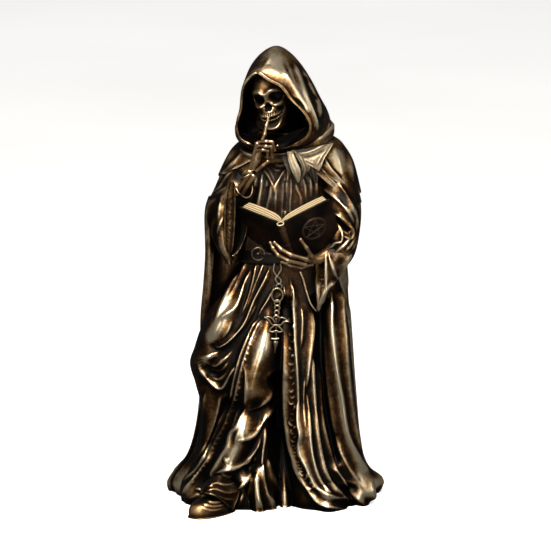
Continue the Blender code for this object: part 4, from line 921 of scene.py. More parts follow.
SHOULDERS = [
    (285, -74, 85, -50, 50, 2.3),
    (300, -71, 84, -48, 49, 2.3),
    (315, -64, 80.5, -45, 47, 2.3),
    (330, -57.5, 77, -41, 45, 2.3),
    (345, -50.5, 72.5, -37, 42, 2.2),
    (357, -43, 65.5, -32, 38, 2.2),
    (366, -32, 57, -25, 33, 2.1),
    (376, -14, 36, -14, 26, 2.0),
]
CAPE_TOP = 374
CAPE_THICKNESS = 0.0024
CAPE_ROWS = 56
CAPE_COLS = 290
SHORT_CAPE_PROUD = 2.2
# The torn edges: degrees round the figure from the viewer's right, and height.
LONG_CAPE_EDGE = [(0, 302), (20, 297), (30, 303), (44, 293), (66, 297), (74, 289), (96, 292), (104, 299),
                  (120, 291), (134, 297), (150, 290), (160, 300), (172, 297), (186, 311), (203, 322),
                  (218, 338), (236, 350), (256, 362), (290, 362), (300, 343), (310, 334), (325, 319),
                  (342, 308)]
SHORT_CAPE_EDGE = [(0, 313), (22, 320), (36, 316), (60, 322), (70, 316), (88, 324), (108, 319), (118, 326),
                   (140, 320), (152, 327), (164, 324), (180, 332), (198, 333), (218, 347), (238, 357),
                   (254, 364), (292, 364), (303, 352), (312, 338), (326, 326), (345, 313)]
CAPE_FOLDS = [
    ([(55, 354), (59, 344), (62, 332), (66, 318)], 1.6, 5),
    ([(45, 343), (50, 333), (58, 323.4), (67, 314), (80, 304)], 2.4, 1.3),
    ([(40, 334), (48, 324), (56, 316), (65, 307)], 2.0, 1.2),
    ([(68, 350), (72, 334), (76, 316)], 2.2, 3),
    ([(56, 359), (50.6, 356), (41.4, 351.5), (32.8, 347), (21, 344.4)], 2.6, 1.8),
    ([(-42, 353), (-48, 342), (-54, 328)], 2.2, 3),
    ([(-34, 350), (-41, 340), (-49, 332), (-56, 326)], 2.2, 2.0),
    ([(-38, 336), (-48, 326), (-56, 314), (-67, 304)], 2.2, 2.0),
    ([(-43.2, 329), (-50, 318), (-60, 308), (-68, 302)], 2.2, 1.8),
    ([(-48, 340), (-56, 322), (-64, 310)], 1.8, 2.0),
]
FLAP = [[(15, 349, -44), (28, 350, -44), (42, 353, -43), (55, 355.5, -38)],
        [(19, 342.6, -46), (28, 342, -48), (39, 344, -48), (51, 348, -43)],
        [(25, 337, -48), (31, 335.6, -50), (38, 336.4, -50), (46, 340, -46)],
        [(34, 331.6, -50), (38, 329.6, -51), (40.4, 327.6, -51), (42.4, 331, -50)]]
FLAP_FOLDS = [
    ([(55.4, 357), (50, 347.5), (45.4, 339.5), (40.6, 328)], 2.0, 0.9),
    ([(14, 347), (24, 337.8), (29.4, 333.6), (40.6, 328)], 2.0, 0.9),
    ([(50, 351), (45.4, 345.4), (41.6, 339), (38.2, 333)], 0.9, 0.7),
    ([(21, 344), (28, 338.6), (38.2, 333)], 0.8, 0.7),
    ([(17, 345.4), (27, 346), (38, 350), (48, 355)], 1.6, 1.1),
    ([(24, 341.4), (32, 342.4), (40, 345.4), (48, 350.4)], -1.4, 1.0),
]
STRIPS = [
    [[(9, 347, -48), (12, 347, -48.6), (15.4, 345.4, -48)],
     [(10.4, 338, -50), (14, 338, -50.6), (18.4, 337.4, -50)],
     [(12.8, 330, -51), (16.8, 329.6, -51.6), (21.6, 330, -51)],
     [(15.6, 324, -50), (18.8, 323, -50.4), (22.4, 325.4, -50)],
     [(19, 317.6, -48), (20, 316.6, -48.4), (21.6, 319, -48)]],
    [[(17, 344, -47), (21, 345, -47.4), (25.6, 343, -47)],
     [(20.6, 338, -49), (25, 338.2, -49.6), (29.6, 336.4, -49)],
     [(23.4, 332, -50), (27.4, 331.4, -50.6), (31.8, 331, -50)],
     [(23, 326.4, -48), (25.8, 324.6, -48.4), (29.2, 326.4, -48)],
     [(21.8, 322.4, -46), (23.2, 320.6, -46.4), (25, 322, -46)]],
    [[(26.6, 336, -48), (31, 337, -48.6), (36.6, 334, -48)],
     [(29, 330, -48), (33.6, 330, -48.6), (38.6, 327, -48)],
     [(32, 324, -46.6), (35.2, 322.6, -47), (39.4, 321.4, -46.6)],
     [(36, 317, -45), (37.4, 315.4, -45.4), (39, 316.4, -45)]],
    [[(3, 344, -45), (6, 345, -45.4), (9.4, 343.6, -45)],
     [(5.4, 337, -46), (8.4, 337, -46.6), (11.4, 336, -46)],
     [(8.4, 330, -46.4), (10.4, 329.6, -47), (12.6, 330, -46.4)],
     [(10.6, 324, -45), (11.4, 323, -45.6), (12.4, 324, -45)]],
]
STRIPS_WORN = (0.24, 0.0, -0.14, -0.12)
STRIP_FOLDS = [
    ([(10, 346), (13.4, 336), (17, 327), (20, 318)], 0.8, 0.7),
    ([(14.4, 346), (17, 337), (20, 329)], 0.8, 0.6),
    ([(20, 344), (25, 335), (26.4, 327), (24, 321)], 0.9, 0.7),
    ([(24.4, 343), (28, 336), (29.6, 330)], 0.7, 0.6),
    ([(31, 336), (34, 329), (36.6, 318)], 0.9, 0.7),
]


def cape(edge, proud):
    """A cape that turns under at its edge and runs back up inside itself."""
    thickness = CAPE_THICKNESS / GRID
    turn = turns(CAPE_COLS, 0.62)[None, :]
    angles = [math.radians(angle) for angle, _ in edge]
    low = np.interp(turn, angles, [height for _, height in edge], period=2 * math.pi)
    share = np.linspace(0, 1, CAPE_ROWS)[:, None]
    outer = oval(SHOULDERS, CAPE_TOP + (low - CAPE_TOP) * share, turn + 0 * share, proud)
    inner = oval(SHOULDERS, CAPE_TOP + (low + 1 - CAPE_TOP) * share, turn + 0 * share, proud - thickness)
    outer = carve_front(outer[::-1], [], CAPE_FOLDS)
    return np.concatenate([inner, outer])


cast("long_cape", [grid_mesh(cape(LONG_CAPE_EDGE, 0.0), ring_rows=True)], bronze_cloth)
cast("short_cape", [grid_mesh(cape(SHORT_CAPE_EDGE, SHORT_CAPE_PROUD), ring_rows=True)], bronze_cloth)
# Cold-cast bronze that stands furthest out and is rubbed most: a dull, pale grey-brown flap.
flap_bronze = patina(
    "pale_rubbed_flap",
    [(0.14, "060504"), (0.38, "2E2821"), (0.51, "5E5446"),
     (0.61, "8A7D68"), (0.75, "BCAD91"), (0.95, "EADEC6")],
    metal=(0.5, 0.85), gloss=(0.62, 0.5))
flap_depth = CAPE_THICKNESS / GRID
flap_grid = plate(FLAP, 60, 70, flap_depth, FLAP_FOLDS)
flap = [grid_mesh(flap_grid, nudge=0.08, windows=FINE_WINDOW)]
for net, nudge in zip(STRIPS, STRIPS_WORN):
    strip = plate(net, 50, 24, 0.5 * flap_depth, STRIP_FOLDS)
    flap.append(grid_mesh(strip, nudge=nudge, windows=FINE_WINDOW))
cast("flap_and_strips", flap, flap_bronze, sharp_angle=0.8)


# Hood
# A deep peaked hood with a rolled edge, hollowed in the wax before it was cast, opens towards the
# viewer's left. A cowl of loose folds lies round the neck, and an inner scarf's edge shows inside.

HOOD_WALL = 0.0028
# The hood's closed loops, from its rolled edge back over the head.
HOOD_RIM = [(-19.6, 424.5, -50), (-9, 418, -53), (3, 411.5, -54), (13.5, 399, -55), (23, 389.5, -56),
            (30, 379.5, -56), (32.6, 371, -55), (29.5, 362, -54), (21.5, 356, -52), (10, 350.5, -50),
            (-4, 348, -46), (-16, 349.5, -42), (-28, 353.5, -39), (-37.5, 360, -37), (-41.2, 370, -36),
            (-39.8, 380, -37), (-37.2, 390, -38), (-36.2, 403, -40), (-33.2, 414, -43), (-27, 422, -46)]
HOOD_FRONT = [(-16, 432, -42), (10, 423, -43), (32, 397, -44), (41, 374, -43), (31, 355, -42),
              (0, 344, -36), (-27, 349, -31), (-42, 363, -27), (-38.5, 388, -28), (-32, 421, -34)]
HOOD_MIDDLE = [(-2, 452.5, -8), (23, 434, -6), (42, 402, -4), (52, 380, -4), (46, 359, -8),
               (4, 340, -8), (-30, 348, -6), (-37, 367, -2), (-34.5, 396, -2), (-25, 434, -5)]
HOOD_BACK = [(6, 440, 30), (21, 426, 33), (35, 402, 36), (42, 378, 37), (37, 358, 34),
             (6, 342, 30), (-20, 350, 30), (-28, 370, 32), (-25, 396, 34), (-14, 425, 32)]
HOOD_END = [(8, 408, 50), (14, 402, 51), (19, 392, 52), (21, 380, 52), (18, 370, 50),
            (7, 364, 48), (-4, 368, 49), (-7, 380, 50), (-6, 392, 51), (0, 402, 51)]
COWL = [(19, 344, -38), (34, 353, -28), (43, 368, -6), (37, 372, 20), (20, 368, 34), (-2, 362, 36),
        (-22, 356, 24), (-30, 352, 2), (-27, 345, -22), (-8, 341, -36)]
COWL_RADII = [7, 10, 13, 14, 14, 14, 12, 10, 7, 6]
HOOD_FOLDS = [
    ([(3, 434), (10, 420), (19, 405), (28, 392), (34, 382)], 2.0, 2.6),
    ([(-2, 446), (-8, 438), (-16, 428)], 1.6, 2.0),
    ([(25, 424), (32, 409), (39, 397)], -3.6, 1.8),
    ([(15, 401), (22, 394), (28, 387)], -2.6, 1.6),
    ([(15, 436), (22, 418), (29, 398), (36, 380), (39, 366)], 3.4, 2.2),
    ([(22, 430), (32, 412), (40, 394), (41, 378)], 3.4, 2.0),
    ([(8, 440), (13, 422), (19, 406), (27, 390)], 1.6, 3.0),
    ([(29, 420), (40, 402), (46, 388)], 2.0, 2.2),
    ([(-20, 426), (-16, 423), (-8.4, 417.5), (1, 413), (7, 407.5), (14, 397.5), (23, 389), (29.5, 380.5),
      (32.2, 372), (30, 363), (23, 356.5), (12, 351)], 1.8, 1.2),
    ([(-20, 426), (-26, 422), (-31, 417), (-34.4, 410), (-35.8, 401), (-37, 388), (-39.6, 380), (-41.4, 372),
      (-39, 362), (-32, 356), (-22, 354)], 1.6, 1.2),
]
COWL_FOLDS = [
    ([(44, 382), (49, 376), (46, 369), (39, 364)], 3.0, 2.2),
    ([(52, 382), (54, 375), (49, 367), (36, 360)], 3.0, 2.2),
    ([(55, 368), (44, 362), (32, 357), (20, 350)], 2.6, 2.0),
    ([(38, 362), (26, 354), (14, 347)], 2.2, 1.6),
    ([(-38, 358), (-30, 352), (-20, 349)], 2.2, 1.6),
    ([(-40, 353), (-32, 346), (-22, 342)], 2.0, 1.6),
    ([(-14, 350), (-2, 344), (12, 346), (24, 353)], 2.2, 1.6),
]
SCARF = [
    [(-36, 366, -20), (-22, 357, -26), (-4, 353, -30), (14, 359, -32), (29, 372, -36)],
    [(-37, 362, -27), (-23, 354, -32), (-4, 350, -36), (14, 355, -38), (30, 367, -42)],
    [(-36, 358, -33), (-22, 351, -37), (-4, 347, -41), (15, 351, -44), (29, 361, -48)],
]
SCARF_DEPTH = 2.0
SCARF_FOLDS = [
    ([(-35, 364), (-26, 358), (-16, 353)], 1.6, 1.1),
    ([(-32, 367), (-23, 360), (-12, 355)], 1.2, 1.0),
    ([(28, 369), (20, 361), (10, 355)], 1.6, 1.1),
    ([(25, 373), (16, 364), (6, 358)], 1.2, 1.0),
    ([(-10, 354), (0, 351), (12, 353)], 1.2, 1.0),
]


def skin(net, rows, cols):
    """A smooth skin over a net of closed loops, each with the same number of points."""
    around = spline(np.asarray(net, float).transpose(1, 0, 2), cols, closed=True)
    return spline(around.transpose(1, 0, 2), rows)


def inside_rim(inset, back):
    """The hood's edge drawn in by some steps and moved back into the hood."""
    rim = np.array(HOOD_RIM, float)
    middle = rim.mean(axis=0)
    reach = np.linalg.norm((rim - middle)[:, :2], axis=1).mean()
    loop = middle + (rim - middle) * (1 - inset / reach)
    loop[:, 2] += back
    return loop.tolist()


wall = HOOD_WALL / GRID
hood_net = []
for loop in (HOOD_END, HOOD_BACK, HOOD_MIDDLE, HOOD_FRONT):
    hood_net.append(spline(loop, len(HOOD_RIM), closed=True))
hood_net.append(HOOD_RIM)
for walls, back in ((0.45, 1.5), (1, 18), (2, 40), (5, 52)):
    hood_net.append(inside_rim(walls * wall, back))
hood_grid = place(skin(hood_net, rows=200, cols=190))[::-1]
hood_grid = carve_front(hood_grid, [], finer(HOOD_FOLDS))
cast("hood", [grid_mesh(hood_grid)], bronze_cloth)


def rod_grid(knots, radii, cols, rows):
    """A closed ring of round sections about grid points, as a grid to be carved."""
    line = spline(np.concatenate([place(knots), np.asarray(radii, float)[:, None]], 1), rows, closed=True)
    path = line[:, :3]
    run = np.roll(path, -1, 0) - np.roll(path, 1, 0)
    run /= np.linalg.norm(run, axis=1, keepdims=True)
    away = path - path.mean(axis=0)
    lift = np.cross(run, away)
    lift /= np.linalg.norm(lift, axis=1, keepdims=True)
    side = np.cross(lift, run)
    turn = np.linspace(0, 2 * math.pi, cols, endpoint=False)[None, :, None]
    return path[:, None] + line[:, None, 3:] * (np.cos(turn) * side[:, None] + np.sin(turn) * lift[:, None])


cowl_grid = rod_grid(COWL, COWL_RADII, cols=70, rows=150)
from_core = cowl_grid - cowl_grid.mean(axis=1, keepdims=True)
toward = np.sign((outward(cowl_grid) * from_core).sum(-1).mean())
normal = toward * outward(cowl_grid)
raised = carving(elevation(cowl_grid), COWL_FOLDS) * smooth_step(0.0, 0.35, normal @ TO_VIEWER)
cowl_grid = cowl_grid + normal * raised[..., None]
if toward < 0:
    cowl_grid = cowl_grid[::-1]
scarf = plate(SCARF, 70, 90, SCARF_DEPTH, SCARF_FOLDS)
# The scarf inside the hood is darkened: painted shade.
cast("cowl_and_scarf", [grid_mesh(cowl_grid, ring_rows=True), grid_mesh(scarf, nudge=-0.22)], bronze_cloth)


# Skull
# The skull is cast in one with the hood, deep inside it, and turned a little to the viewer's left.
# Brows, nose bones, cheekbones, both rows of teeth and the jaw stand out of the dark.

# Cold-cast bronze bone, rubbed back smooth: near black in the sockets, pale brown on the bone.
bronze_bone = patina(
    "rubbed_bronze_bone",
    [(0.20, "040202"), (0.40, "20150D"), (0.53, "64482E"),
     (0.67, "A68258"), (0.84, "CFB088"), (1.0, "F2DDBC")],
    metal=(0.4, 0.95), gloss=(0.6, 0.32), mottle=0.22, mottle_mm=2.4, shade_reach=0.006)

SKULL_ROOT = (-12, 401.5, -36)
SKULL_TURN = (math.radians(6), math.radians(-11), math.radians(-18))
SKULL = [
    (-36, -4, 4, 4, 10, 2.0),
    (-33, -8, 8, 0, 14, 2.2),
    (-28, -10.5, 10.5, 0.5, 20, 2.2),
    (-23, -12.5, 12.5, -1, 24, 2.2),
    (-18, -14, 14, -2, 28, 2.2),
    (-13, -15.5, 15.5, -1, 34, 2.2),
    (-8, -17.5, 17.5, 0, 40, 2.3),
    (-3, -18.5, 18.5, -0.5, 44, 2.3),
    (4, -18.5, 18.5, -2, 46, 2.3),
    (11, -19, 19, -0.5, 47, 2.2),
    (20, -17, 17, 4, 45, 2.1),
    (27, -11, 11, 12, 38, 2.0),
    (30.5, -3, 3, 22, 28, 2.0),
]
# Brows, nose, cheeks, jaws and lips of bone on the skull's own front: path, height, width.
SKULL_SWELLS = [
    ([(-17, 0), (-13.5, 5), (-7, 6), (-2, 3), (2, 3), (7, 6), (13.5, 5), (17, 0)], 3.2, 2.6),
    ([(0, 3), (0, -3), (0, -8)], 3.2, 1.8),
    ([(-3.5, -9), (-8, -9.5), (-13.5, -9.5), (-19, -6)], 3.6, 2.2),
    ([(3.5, -9), (8, -9.5), (13.5, -9.5), (19, -6)], 3.6, 2.2),
    ([(-8, -16), (-4, -15), (4, -15), (8, -16)], 3.0, 3.4),
    ([(-13, -17), (-6, -19), (0, -19.6), (6, -19), (13, -17)], 3.4, 1.7),
    ([(-12, -20.5), (-6, -23.4), (0, -24.2), (6, -23.4), (12, -20.5)], 3.2, 1.6),
    ([(-15, -16), (-12.5, -25), (-6, -31.5), (0, -33), (6, -31.5), (12.5, -25), (15, -16)], 3.4, 2.6),
    ([(-14.5, -19), (-10.5, -15), (-8.5, -12)], -6.5, 2.8),
    ([(14.5, -19), (10.5, -15), (8.5, -12)], -6.5, 2.8),
    ([(-13, -18.5), (-6, -21.2), (0, -21.9), (6, -21.2), (13, -18.5)], -2.6, 0.8),
]
# Eye sockets and nose holes: middle, half width and half height, depth.
SKULL_PITS = [
    ((-8.8, -2.2), (6.2, 5.6), 11),
    ((8.8, -2.2), (6.2, 5.6), 11),
    ((-1.7, -11.6), (2.3, 3.0), 6),
    ((1.7, -11.6), (2.3, 3.0), 6),
    ((0, -9.4), (2.2, 3.2), 5),
]
TOOTH_GAPS = np.linspace(-11, 11, 11)
TOOTH_ROW_BEND = 0.018
LOWER_ROW_WIDTH = 0.9


def turned(angles):
    """A turn about x, then about y, then about z."""
    about_x, about_y, about_z = angles
    turn = Matrix.Rotation(about_z, 4, "Z") @ Matrix.Rotation(about_y, 4, "Y")
    return turn @ Matrix.Rotation(about_x, 4, "X")


skull_grid = loft(SKULL, rows=190, cols=190, front_share=0.72)
local = skull_grid[..., [0, 2]]
skull_facing = smooth_step(0.05, 0.5, -outward(skull_grid)[..., 1])
push = carving(local, SKULL_SWELLS, sharp=False)
for centre, radii, depth in SKULL_PITS:
    reach = np.linalg.norm((local - np.array(centre)) / np.array(radii), axis=-1)
    push = push - depth * smooth_step(1.15, 0.6, reach)
for gap in TOOTH_GAPS:
    drop = TOOTH_ROW_BEND * gap ** 2
    upper = [(gap, -16.2 + drop), (gap, -20.4 + drop)]
    lower = [(LOWER_ROW_WIDTH * gap, -22.4 + drop), (LOWER_ROW_WIDTH * gap, -26.0 + drop)]
    push = push + carving(local, [(upper, -1.7, 0.42), (lower, -1.5, 0.42)], sharp=False)
skull_grid[..., 1] -= push * skull_facing
skull_grid = skull_grid @ np.array(turned(SKULL_TURN).to_3x3()).T + place(SKULL_ROOT)
cast("skull", [grid_mesh(skull_grid)], bronze_bone)


# Raised hand
# Bare bones in the same casting: the first finger stands at the teeth, three fingers are folded over
# the palm, and two bones of the forearm run down into the sleeve's mouth. Two rings circle the wrist.

FINGER_RADIUS = 0.0012
ARM_BONE_RADIUS = 0.0015
WRIST_RINGS = [((-28.5, 326.5, -46), 6.0), ((-30.98, 322.5, -46), 6.2)]
WRIST_WIRE = 0.75
finger = FINGER_RADIUS / GRID
arm_bone = ARM_BONE_RADIUS / GRID


def bone(knots, thickness, swell=0.35, cols=16, rows_each=12):
    """A chain of finger bones, each waisted in its middle and knobbed at the knots where two join."""
    knots = np.asarray(knots, float)
    line = []
    for index, (start, end) in enumerate(zip(knots[:-1], knots[1:])):
        first, last = np.broadcast_to(thickness, len(knots))[index:index + 2]
        for share in np.linspace(0, 1, rows_each, endpoint=index == len(knots) - 2):
            waist = 1 - swell * math.sin(math.pi * share) ** 0.6
            line.append((*(start + (end - start) * share), (first + (last - first) * share) * waist))
    line = np.array(line)
    return rod(line[:, :3], line[:, 3], cols=cols, rows_each=1)


raised_hand = [
    bone([(-9.6, 380.3, -50), (-11.5, 372.6, -52), (-13.2, 364, -53.4), (-16.2, 356, -53)],
         [0.85 * finger, 1.05 * finger, 1.15 * finger, 1.35 * finger], 0.22),
    bone([(-20.2, 355.8, -54), (-12, 356.9, -59), (-5.7, 356.3, -58), (-3.2, 347.5, -55)],
         1.05 * finger, 0.2),
    bone([(-20, 352.3, -54), (-12, 352, -60), (-7, 351.6, -58), (-5.6, 341.6, -54)], 1.05 * finger, 0.2),
    bone([(-20.5, 348.2, -54), (-15, 348.4, -59), (-10, 347.6, -57), (-10.8, 341, -53)], 1.0 * finger, 0.2),
    bone([(-20.2, 355.4, -54), (-24.4, 343, -52), (-28, 330, -48)],
         [1.5 * finger, 0.95 * finger, 1.2 * finger], 0.15),
    bone([(-16.2, 354, -53), (-19.4, 342, -52), (-24, 329, -48)],
         [1.5 * finger, 0.95 * finger, 1.2 * finger], 0.15),
    bone([(-22.4, 349, -52), (-22.6, 340, -51), (-26, 329, -48)], 1.0 * finger, 0.15),
    bone([(-9.6, 337.5, -55), (-14.6, 333.6, -54), (-21.5, 328, -50)],
         [1.15 * finger, 1.1 * finger, finger], 0.2),
    rod([(-20, 348, -49), (-22, 337, -48), (-27, 328, -45)], [2.2 * finger, 2.4 * finger, 1.8 * finger]),
    bone([(-27.5, 328, -48), (-32.6, 320, -46), (-38.6, 311, -43), (-42, 305, -41)],
         [1.7 * arm_bone, 1.0 * arm_bone, 1.0 * arm_bone, 1.2 * arm_bone], 0.05),
    bone([(-24, 324, -48), (-29, 316, -46), (-35, 306, -42)],
         [1.5 * arm_bone, 0.95 * arm_bone, arm_bone], 0.05),
    rod([(-0.8, 352.6, -56), (-0.2, 352, -56.4)], [1.7, 1.7], rows_each=6),
]
for (u, v, y), half in WRIST_RINGS:
    ring = [(u + 0.92 * half * math.cos(turn), v + 0.42 * half * math.cos(turn) + 0.4 * math.sin(turn),
             y - 4.6 * math.sin(turn)) for turn in np.linspace(0, 2 * math.pi, 14, endpoint=False)]
    raised_hand.append(rod(ring, WRIST_WIRE, cols=10, rows_each=5, closed=True))
cast("raised_hand", raised_hand, bronze_bone)


# Book
# An open book, its spine towards the viewer, cast in one with the hands and painted: two boards on a
# round back, a block of pages on each that curves into the gutter, and a star in a circle.

# Painted leather boards: nearly black, with a little reddish brown coming through.
book_leather = patina(
    "dark_painted_boards",
    [(0.20, "020101"), (0.50, "060403"), (0.66, "0E0906"), (0.84, "2A1F15"), (1.0, "6B563C")],
    metal=(0.0, 0.5), gloss=(0.55, 0.45),
    greyed=[(0.20, "030101"), (0.45, "1C0E06"), (0.66, "341C0D"), (0.84, "4A2E1A"), (1.0, "7A5C3C")],
    specular=0.25, mottle=0.16, mottle_mm=3.3, shade_reach=0.006)
# Cold-cast bronze lines of the star, dulled grey-brown by the paint round them.
star_relief = patina(
    "greyed_star_relief",
    [(0.20, "0A0807"), (0.5, "2C241C"), (0.8, "5C4F40"), (1.0, "7E705C")],
    metal=(0.3, 0.7), gloss=(0.5, 0.4), mottle=0.3, mottle_mm=2.0, shade_reach=0.003)
# Matt cream paint on the pages, with brown in the cuts between the leaves.
page_paint = patina(
    "cream_painted_pages",
    [(0.12, "2C2114"), (0.30, "786547"), (0.46, "A89673"), (0.62, "C4B38E"), (1.0, "DACDAE")],
    metal=(0.0, 0.0), gloss=(0.7, 0.55), mottle=0.10, mottle_mm=3.3, shade_reach=0.003)

BOOK_HEIGHT = 0.0362
BOOK_WIDTH = 0.0355
BOOK_BOARD = 0.0016
BOOK_PAGES = 0.0062
BOOK_SQUARE = 0.0012
BOOK_SPINE = 0.0020
BOOK_HEAD = (2.5, 276, -80)
BOOK_TURN = (math.radians(36), math.radians(-6.9), math.radians(-13.7))
BOOK_OPEN = math.radians(31.7)
# Fewer and thicker leaves than on the casting, so that the cuts between them show.
LEAVES = 4
LEAF_CUT = 0.28
LEAF_STEPS = 4
HEAD_GAP = 0.3
LEAF_TONE = (0.08, 0.64)
RIM_WIRE = 0.55

long = BOOK_HEIGHT / GRID
wide = BOOK_WIDTH / GRID
board = BOOK_BOARD / GRID
pages = BOOK_PAGES / GRID
square = BOOK_SQUARE / GRID
spine = BOOK_SPINE / GRID
book_place = Matrix.Translation(Vector(place(BOOK_HEAD))) @ turned(BOOK_TURN)


def moved(matrix, points):
    """Points of any grid carried by a matrix."""
    points = np.asarray(points, float)
    return points @ np.array(matrix.to_3x3()).T + np.array(matrix.translation)


def as_knots(points):
    """Points in grid steps read back as grid points (u, v, y)."""
    return np.concatenate([elevation(points), points[..., 1:2]], -1)


def slab(matrix, size, edge):
    """A flat board with softened edges, as a closed mesh."""
    solid = bmesh.new()
    bmesh.ops.create_cube(solid, size=1.0, matrix=Matrix.Diagonal((*size, 1)))
    bmesh.ops.bevel(solid, geom=solid.edges[:], offset=edge, segments=3, affect="EDGES", profile=0.6)
    bmesh.ops.transform(solid, matrix=matrix, verts=solid.verts)
    points = np.array([vert.co for vert in solid.verts])
    faces = [[vert.index for vert in face.verts] for face in solid.faces]
    solid.free()
    return points, faces, np.full(len(points), 0.56)


def leaf_block(side):
    """A block of pages whose head and fore edges are cut into thin leaves."""
    fore = wide - square
    upper = spline([(fore - 0.25 * pages, pages), (0.75 * fore, 1.06 * pages), (0.5 * fore, 1.05 * pages),
                    (0.25 * fore, 0.92 * pages), (0.1 * fore, 0.6 * pages), (0.0, 0.05)], 40)
    lower = np.column_stack([np.linspace(fore, 0.0, 40), np.zeros(40)])
    heights = np.linspace(0, 1, LEAF_STEPS * LEAVES + 1)[:, None, None]
    sheet = lower[None] + heights * (upper - lower)[None]
    ripple = LEAF_CUT * np.abs(np.sin(math.pi * LEAVES * heights[..., 0]))
    head = np.concatenate([sheet, np.zeros(sheet.shape[:2])[..., None]], -1)
    head[..., 2] = -square - HEAD_GAP + ripple
    foot = head.copy()
    foot[..., 2] = -long + square + HEAD_GAP - ripple
    head[:, 0, 0] += ripple[:, 0]
    foot[:, 0, 0] += ripple[:, 0]
    points = np.concatenate([head, foot[:, ::-1]], axis=1)
    return points * [side, 1, 1] + [0, board / 2, 0]


book_boards = []
book_pages = []
for side in (-1, 1):
    swing = book_place @ Matrix.Rotation(side * BOOK_OPEN, 4, "Z")
    middle = Matrix.Translation((side * wide / 2, 0, -long / 2))
    book_boards.append(slab(swing @ middle, (wide, board, long), 0.5))
    leaves = moved(swing, leaf_block(side))
    points, faces, level = grid_mesh(leaves)
    stripes = np.abs(np.sin(math.pi * LEAVES * np.linspace(0, 1, len(leaves))))[:, None]
    tone = LEAF_TONE[0] + (LEAF_TONE[1] - LEAF_TONE[0]) * stripes + np.zeros(leaves.shape[:2])
    book_pages.append((points, faces, np.concatenate([tone.reshape(-1), [0.5, 0.5]])))
back = [(1.15 * spine * math.cos(angle), 0.85 * spine * math.sin(angle))
        for angle in np.linspace(0, 2 * math.pi, 32, endpoint=False)]
hollow = [(0.62 * x, 0.62 * y) for x, y in back]
rims = [(hollow, -6), (hollow, 0.1), (back, 0.1), (back, -long), (hollow, -long - 0.1)]
spine_grid = np.array([[(x, y - 0.3 * spine, z) for x, y in loop] for loop, z in rims])
book_boards.append(grid_mesh(moved(book_place, spine_grid)))
for share in (0.12, 0.5, 0.88):
    raised_band = [(1.1 * x, 1.2 * y - 0.3 * spine, -share * long) for x, y in back]
    raised_band = as_knots(moved(book_place, raised_band))
    book_boards.append(rod(raised_band, 0.5, cols=8, rows_each=2, closed=True))
cast("book_boards", book_boards, book_leather, sharp_angle=0.6)
cast("book_pages", book_pages, page_paint, sharp_angle=0.5)
rim = as_knots(moved(book_place, [(x, y - 0.3 * spine, 0.2) for x, y in back]))
rim = 0.9 * rim + 0.1 * rim.mean(axis=0)
cast("book_head_rim", [rod(rim, RIM_WIRE, cols=10, rows_each=2, closed=True)], page_paint)

STAR_CENTRE = (0.56, 0.46)
STAR_RADIUS = 0.0084
STAR_TILT = math.radians(22)
star = STAR_RADIUS / GRID
cover = book_place @ Matrix.Rotation(BOOK_OPEN, 4, "Z") @ Matrix.Translation(
    (STAR_CENTRE[0] * wide, -board / 2, -STAR_CENTRE[1] * long))


def on_cover(points):
    """Points drawn on the right board, as grid points (u, v, y)."""
    return as_knots(moved(cover, [(x, 0.0, z) for x, z in points]))


star_rods = []
for radius in (star, 0.9 * star):
    ring = [(radius * math.cos(angle), radius * math.sin(angle))
            for angle in np.linspace(0, 2 * math.pi, 32, endpoint=False)]
    star_rods.append(rod(on_cover(ring), 0.42, cols=8, rows_each=2, closed=True))
tips = [(0.9 * star * math.sin(angle), 0.9 * star * math.cos(angle))
        for angle in np.linspace(STAR_TILT, STAR_TILT + 2 * math.pi, 5, endpoint=False)]
for start in range(5):
    star_rods.append(rod(on_cover([tips[start], tips[(start + 2) % 5]]), 0.5, cols=8, rows_each=6))
cast("book_star", star_rods, star_relief)


# Carrying hand
# More bare bones of the same casting. The fingers pass under the boards from the viewer's right, and
# the thumb lies over the right board.

carrying_hand = [
    bone([(-4, 257.6, -73), (3, 250.5, -75), (12.5, 245, -75), (28, 240.6, -67), (36, 240, -58)],
         [1.0 * finger, 1.3 * finger, 1.35 * finger, 1.45 * finger, 1.7 * finger], 0.22),
    bone([(-7.8, 257.6, -70), (-5, 251.6, -71), (0, 245, -72), (10, 239.4, -71), (27, 235.6, -64)],
         [1.0 * finger, 1.3 * finger, 1.35 * finger, 1.45 * finger, 1.6 * finger], 0.22),
    bone([(3, 238, -64), (12, 234.5, -66), (23, 232.5, -62), (34, 236, -55)],
         [0.9 * finger, 1.1 * finger, 1.2 * finger, 1.4 * finger], 0.2),
    bone([(21.9, 260.5, -78), (28, 252, -76), (33, 244, -68), (36, 239, -58)],
         [0.95 * finger, 1.2 * finger, 1.25 * finger, 1.8 * finger], 0.25),
    rod([(30, 241, -58), (40, 241, -50), (52, 248, -38), (62, 256, -26)],
        [2.2 * finger, 3 * finger, 8, 10]),
]
cast("carrying_hand", carrying_hand, bronze_bone)


# Belt, chain and pendant
# A flat belt with a round wire buckle, and a chain of plain rings that ends in a winged dagger. All
# of it is raised on the same casting.

# Cold-cast bronze wire, little rubbed: an even, greyed brown with pale edges.
plain_metal = patina(
    "greyed_chain_metal",
    [(0.20, "0B0806"), (0.40, "2A221B"), (0.54, "5E5142"), (0.70, "8F8069"), (1.0, "CDBFA3")],
    metal=(0.5, 0.95), gloss=(0.5, 0.34), mottle=0.25, mottle_mm=1.7, shade_reach=0.004)
# Cold-cast bronze belt under dark paint: nearly black, with a faint brown edge.
belt_leather = patina(
    "dark_belt",
    [(0.20, "020202"), (0.50, "080605"), (0.70, "17120E"), (0.95, "4A3D30")],
    metal=(0.3, 0.8), gloss=(0.55, 0.38), mottle=0.25, mottle_mm=2.0, shade_reach=0.005)

BELT_WIDTH = 0.0080
BELT_PROUD = 0.0016
BELT_HEIGHT = 251
BUCKLE_CENTRE = (-19.8, 246)
BUCKLE_RADIUS = 0.0040
BUCKLE_WIRE = 0.000448


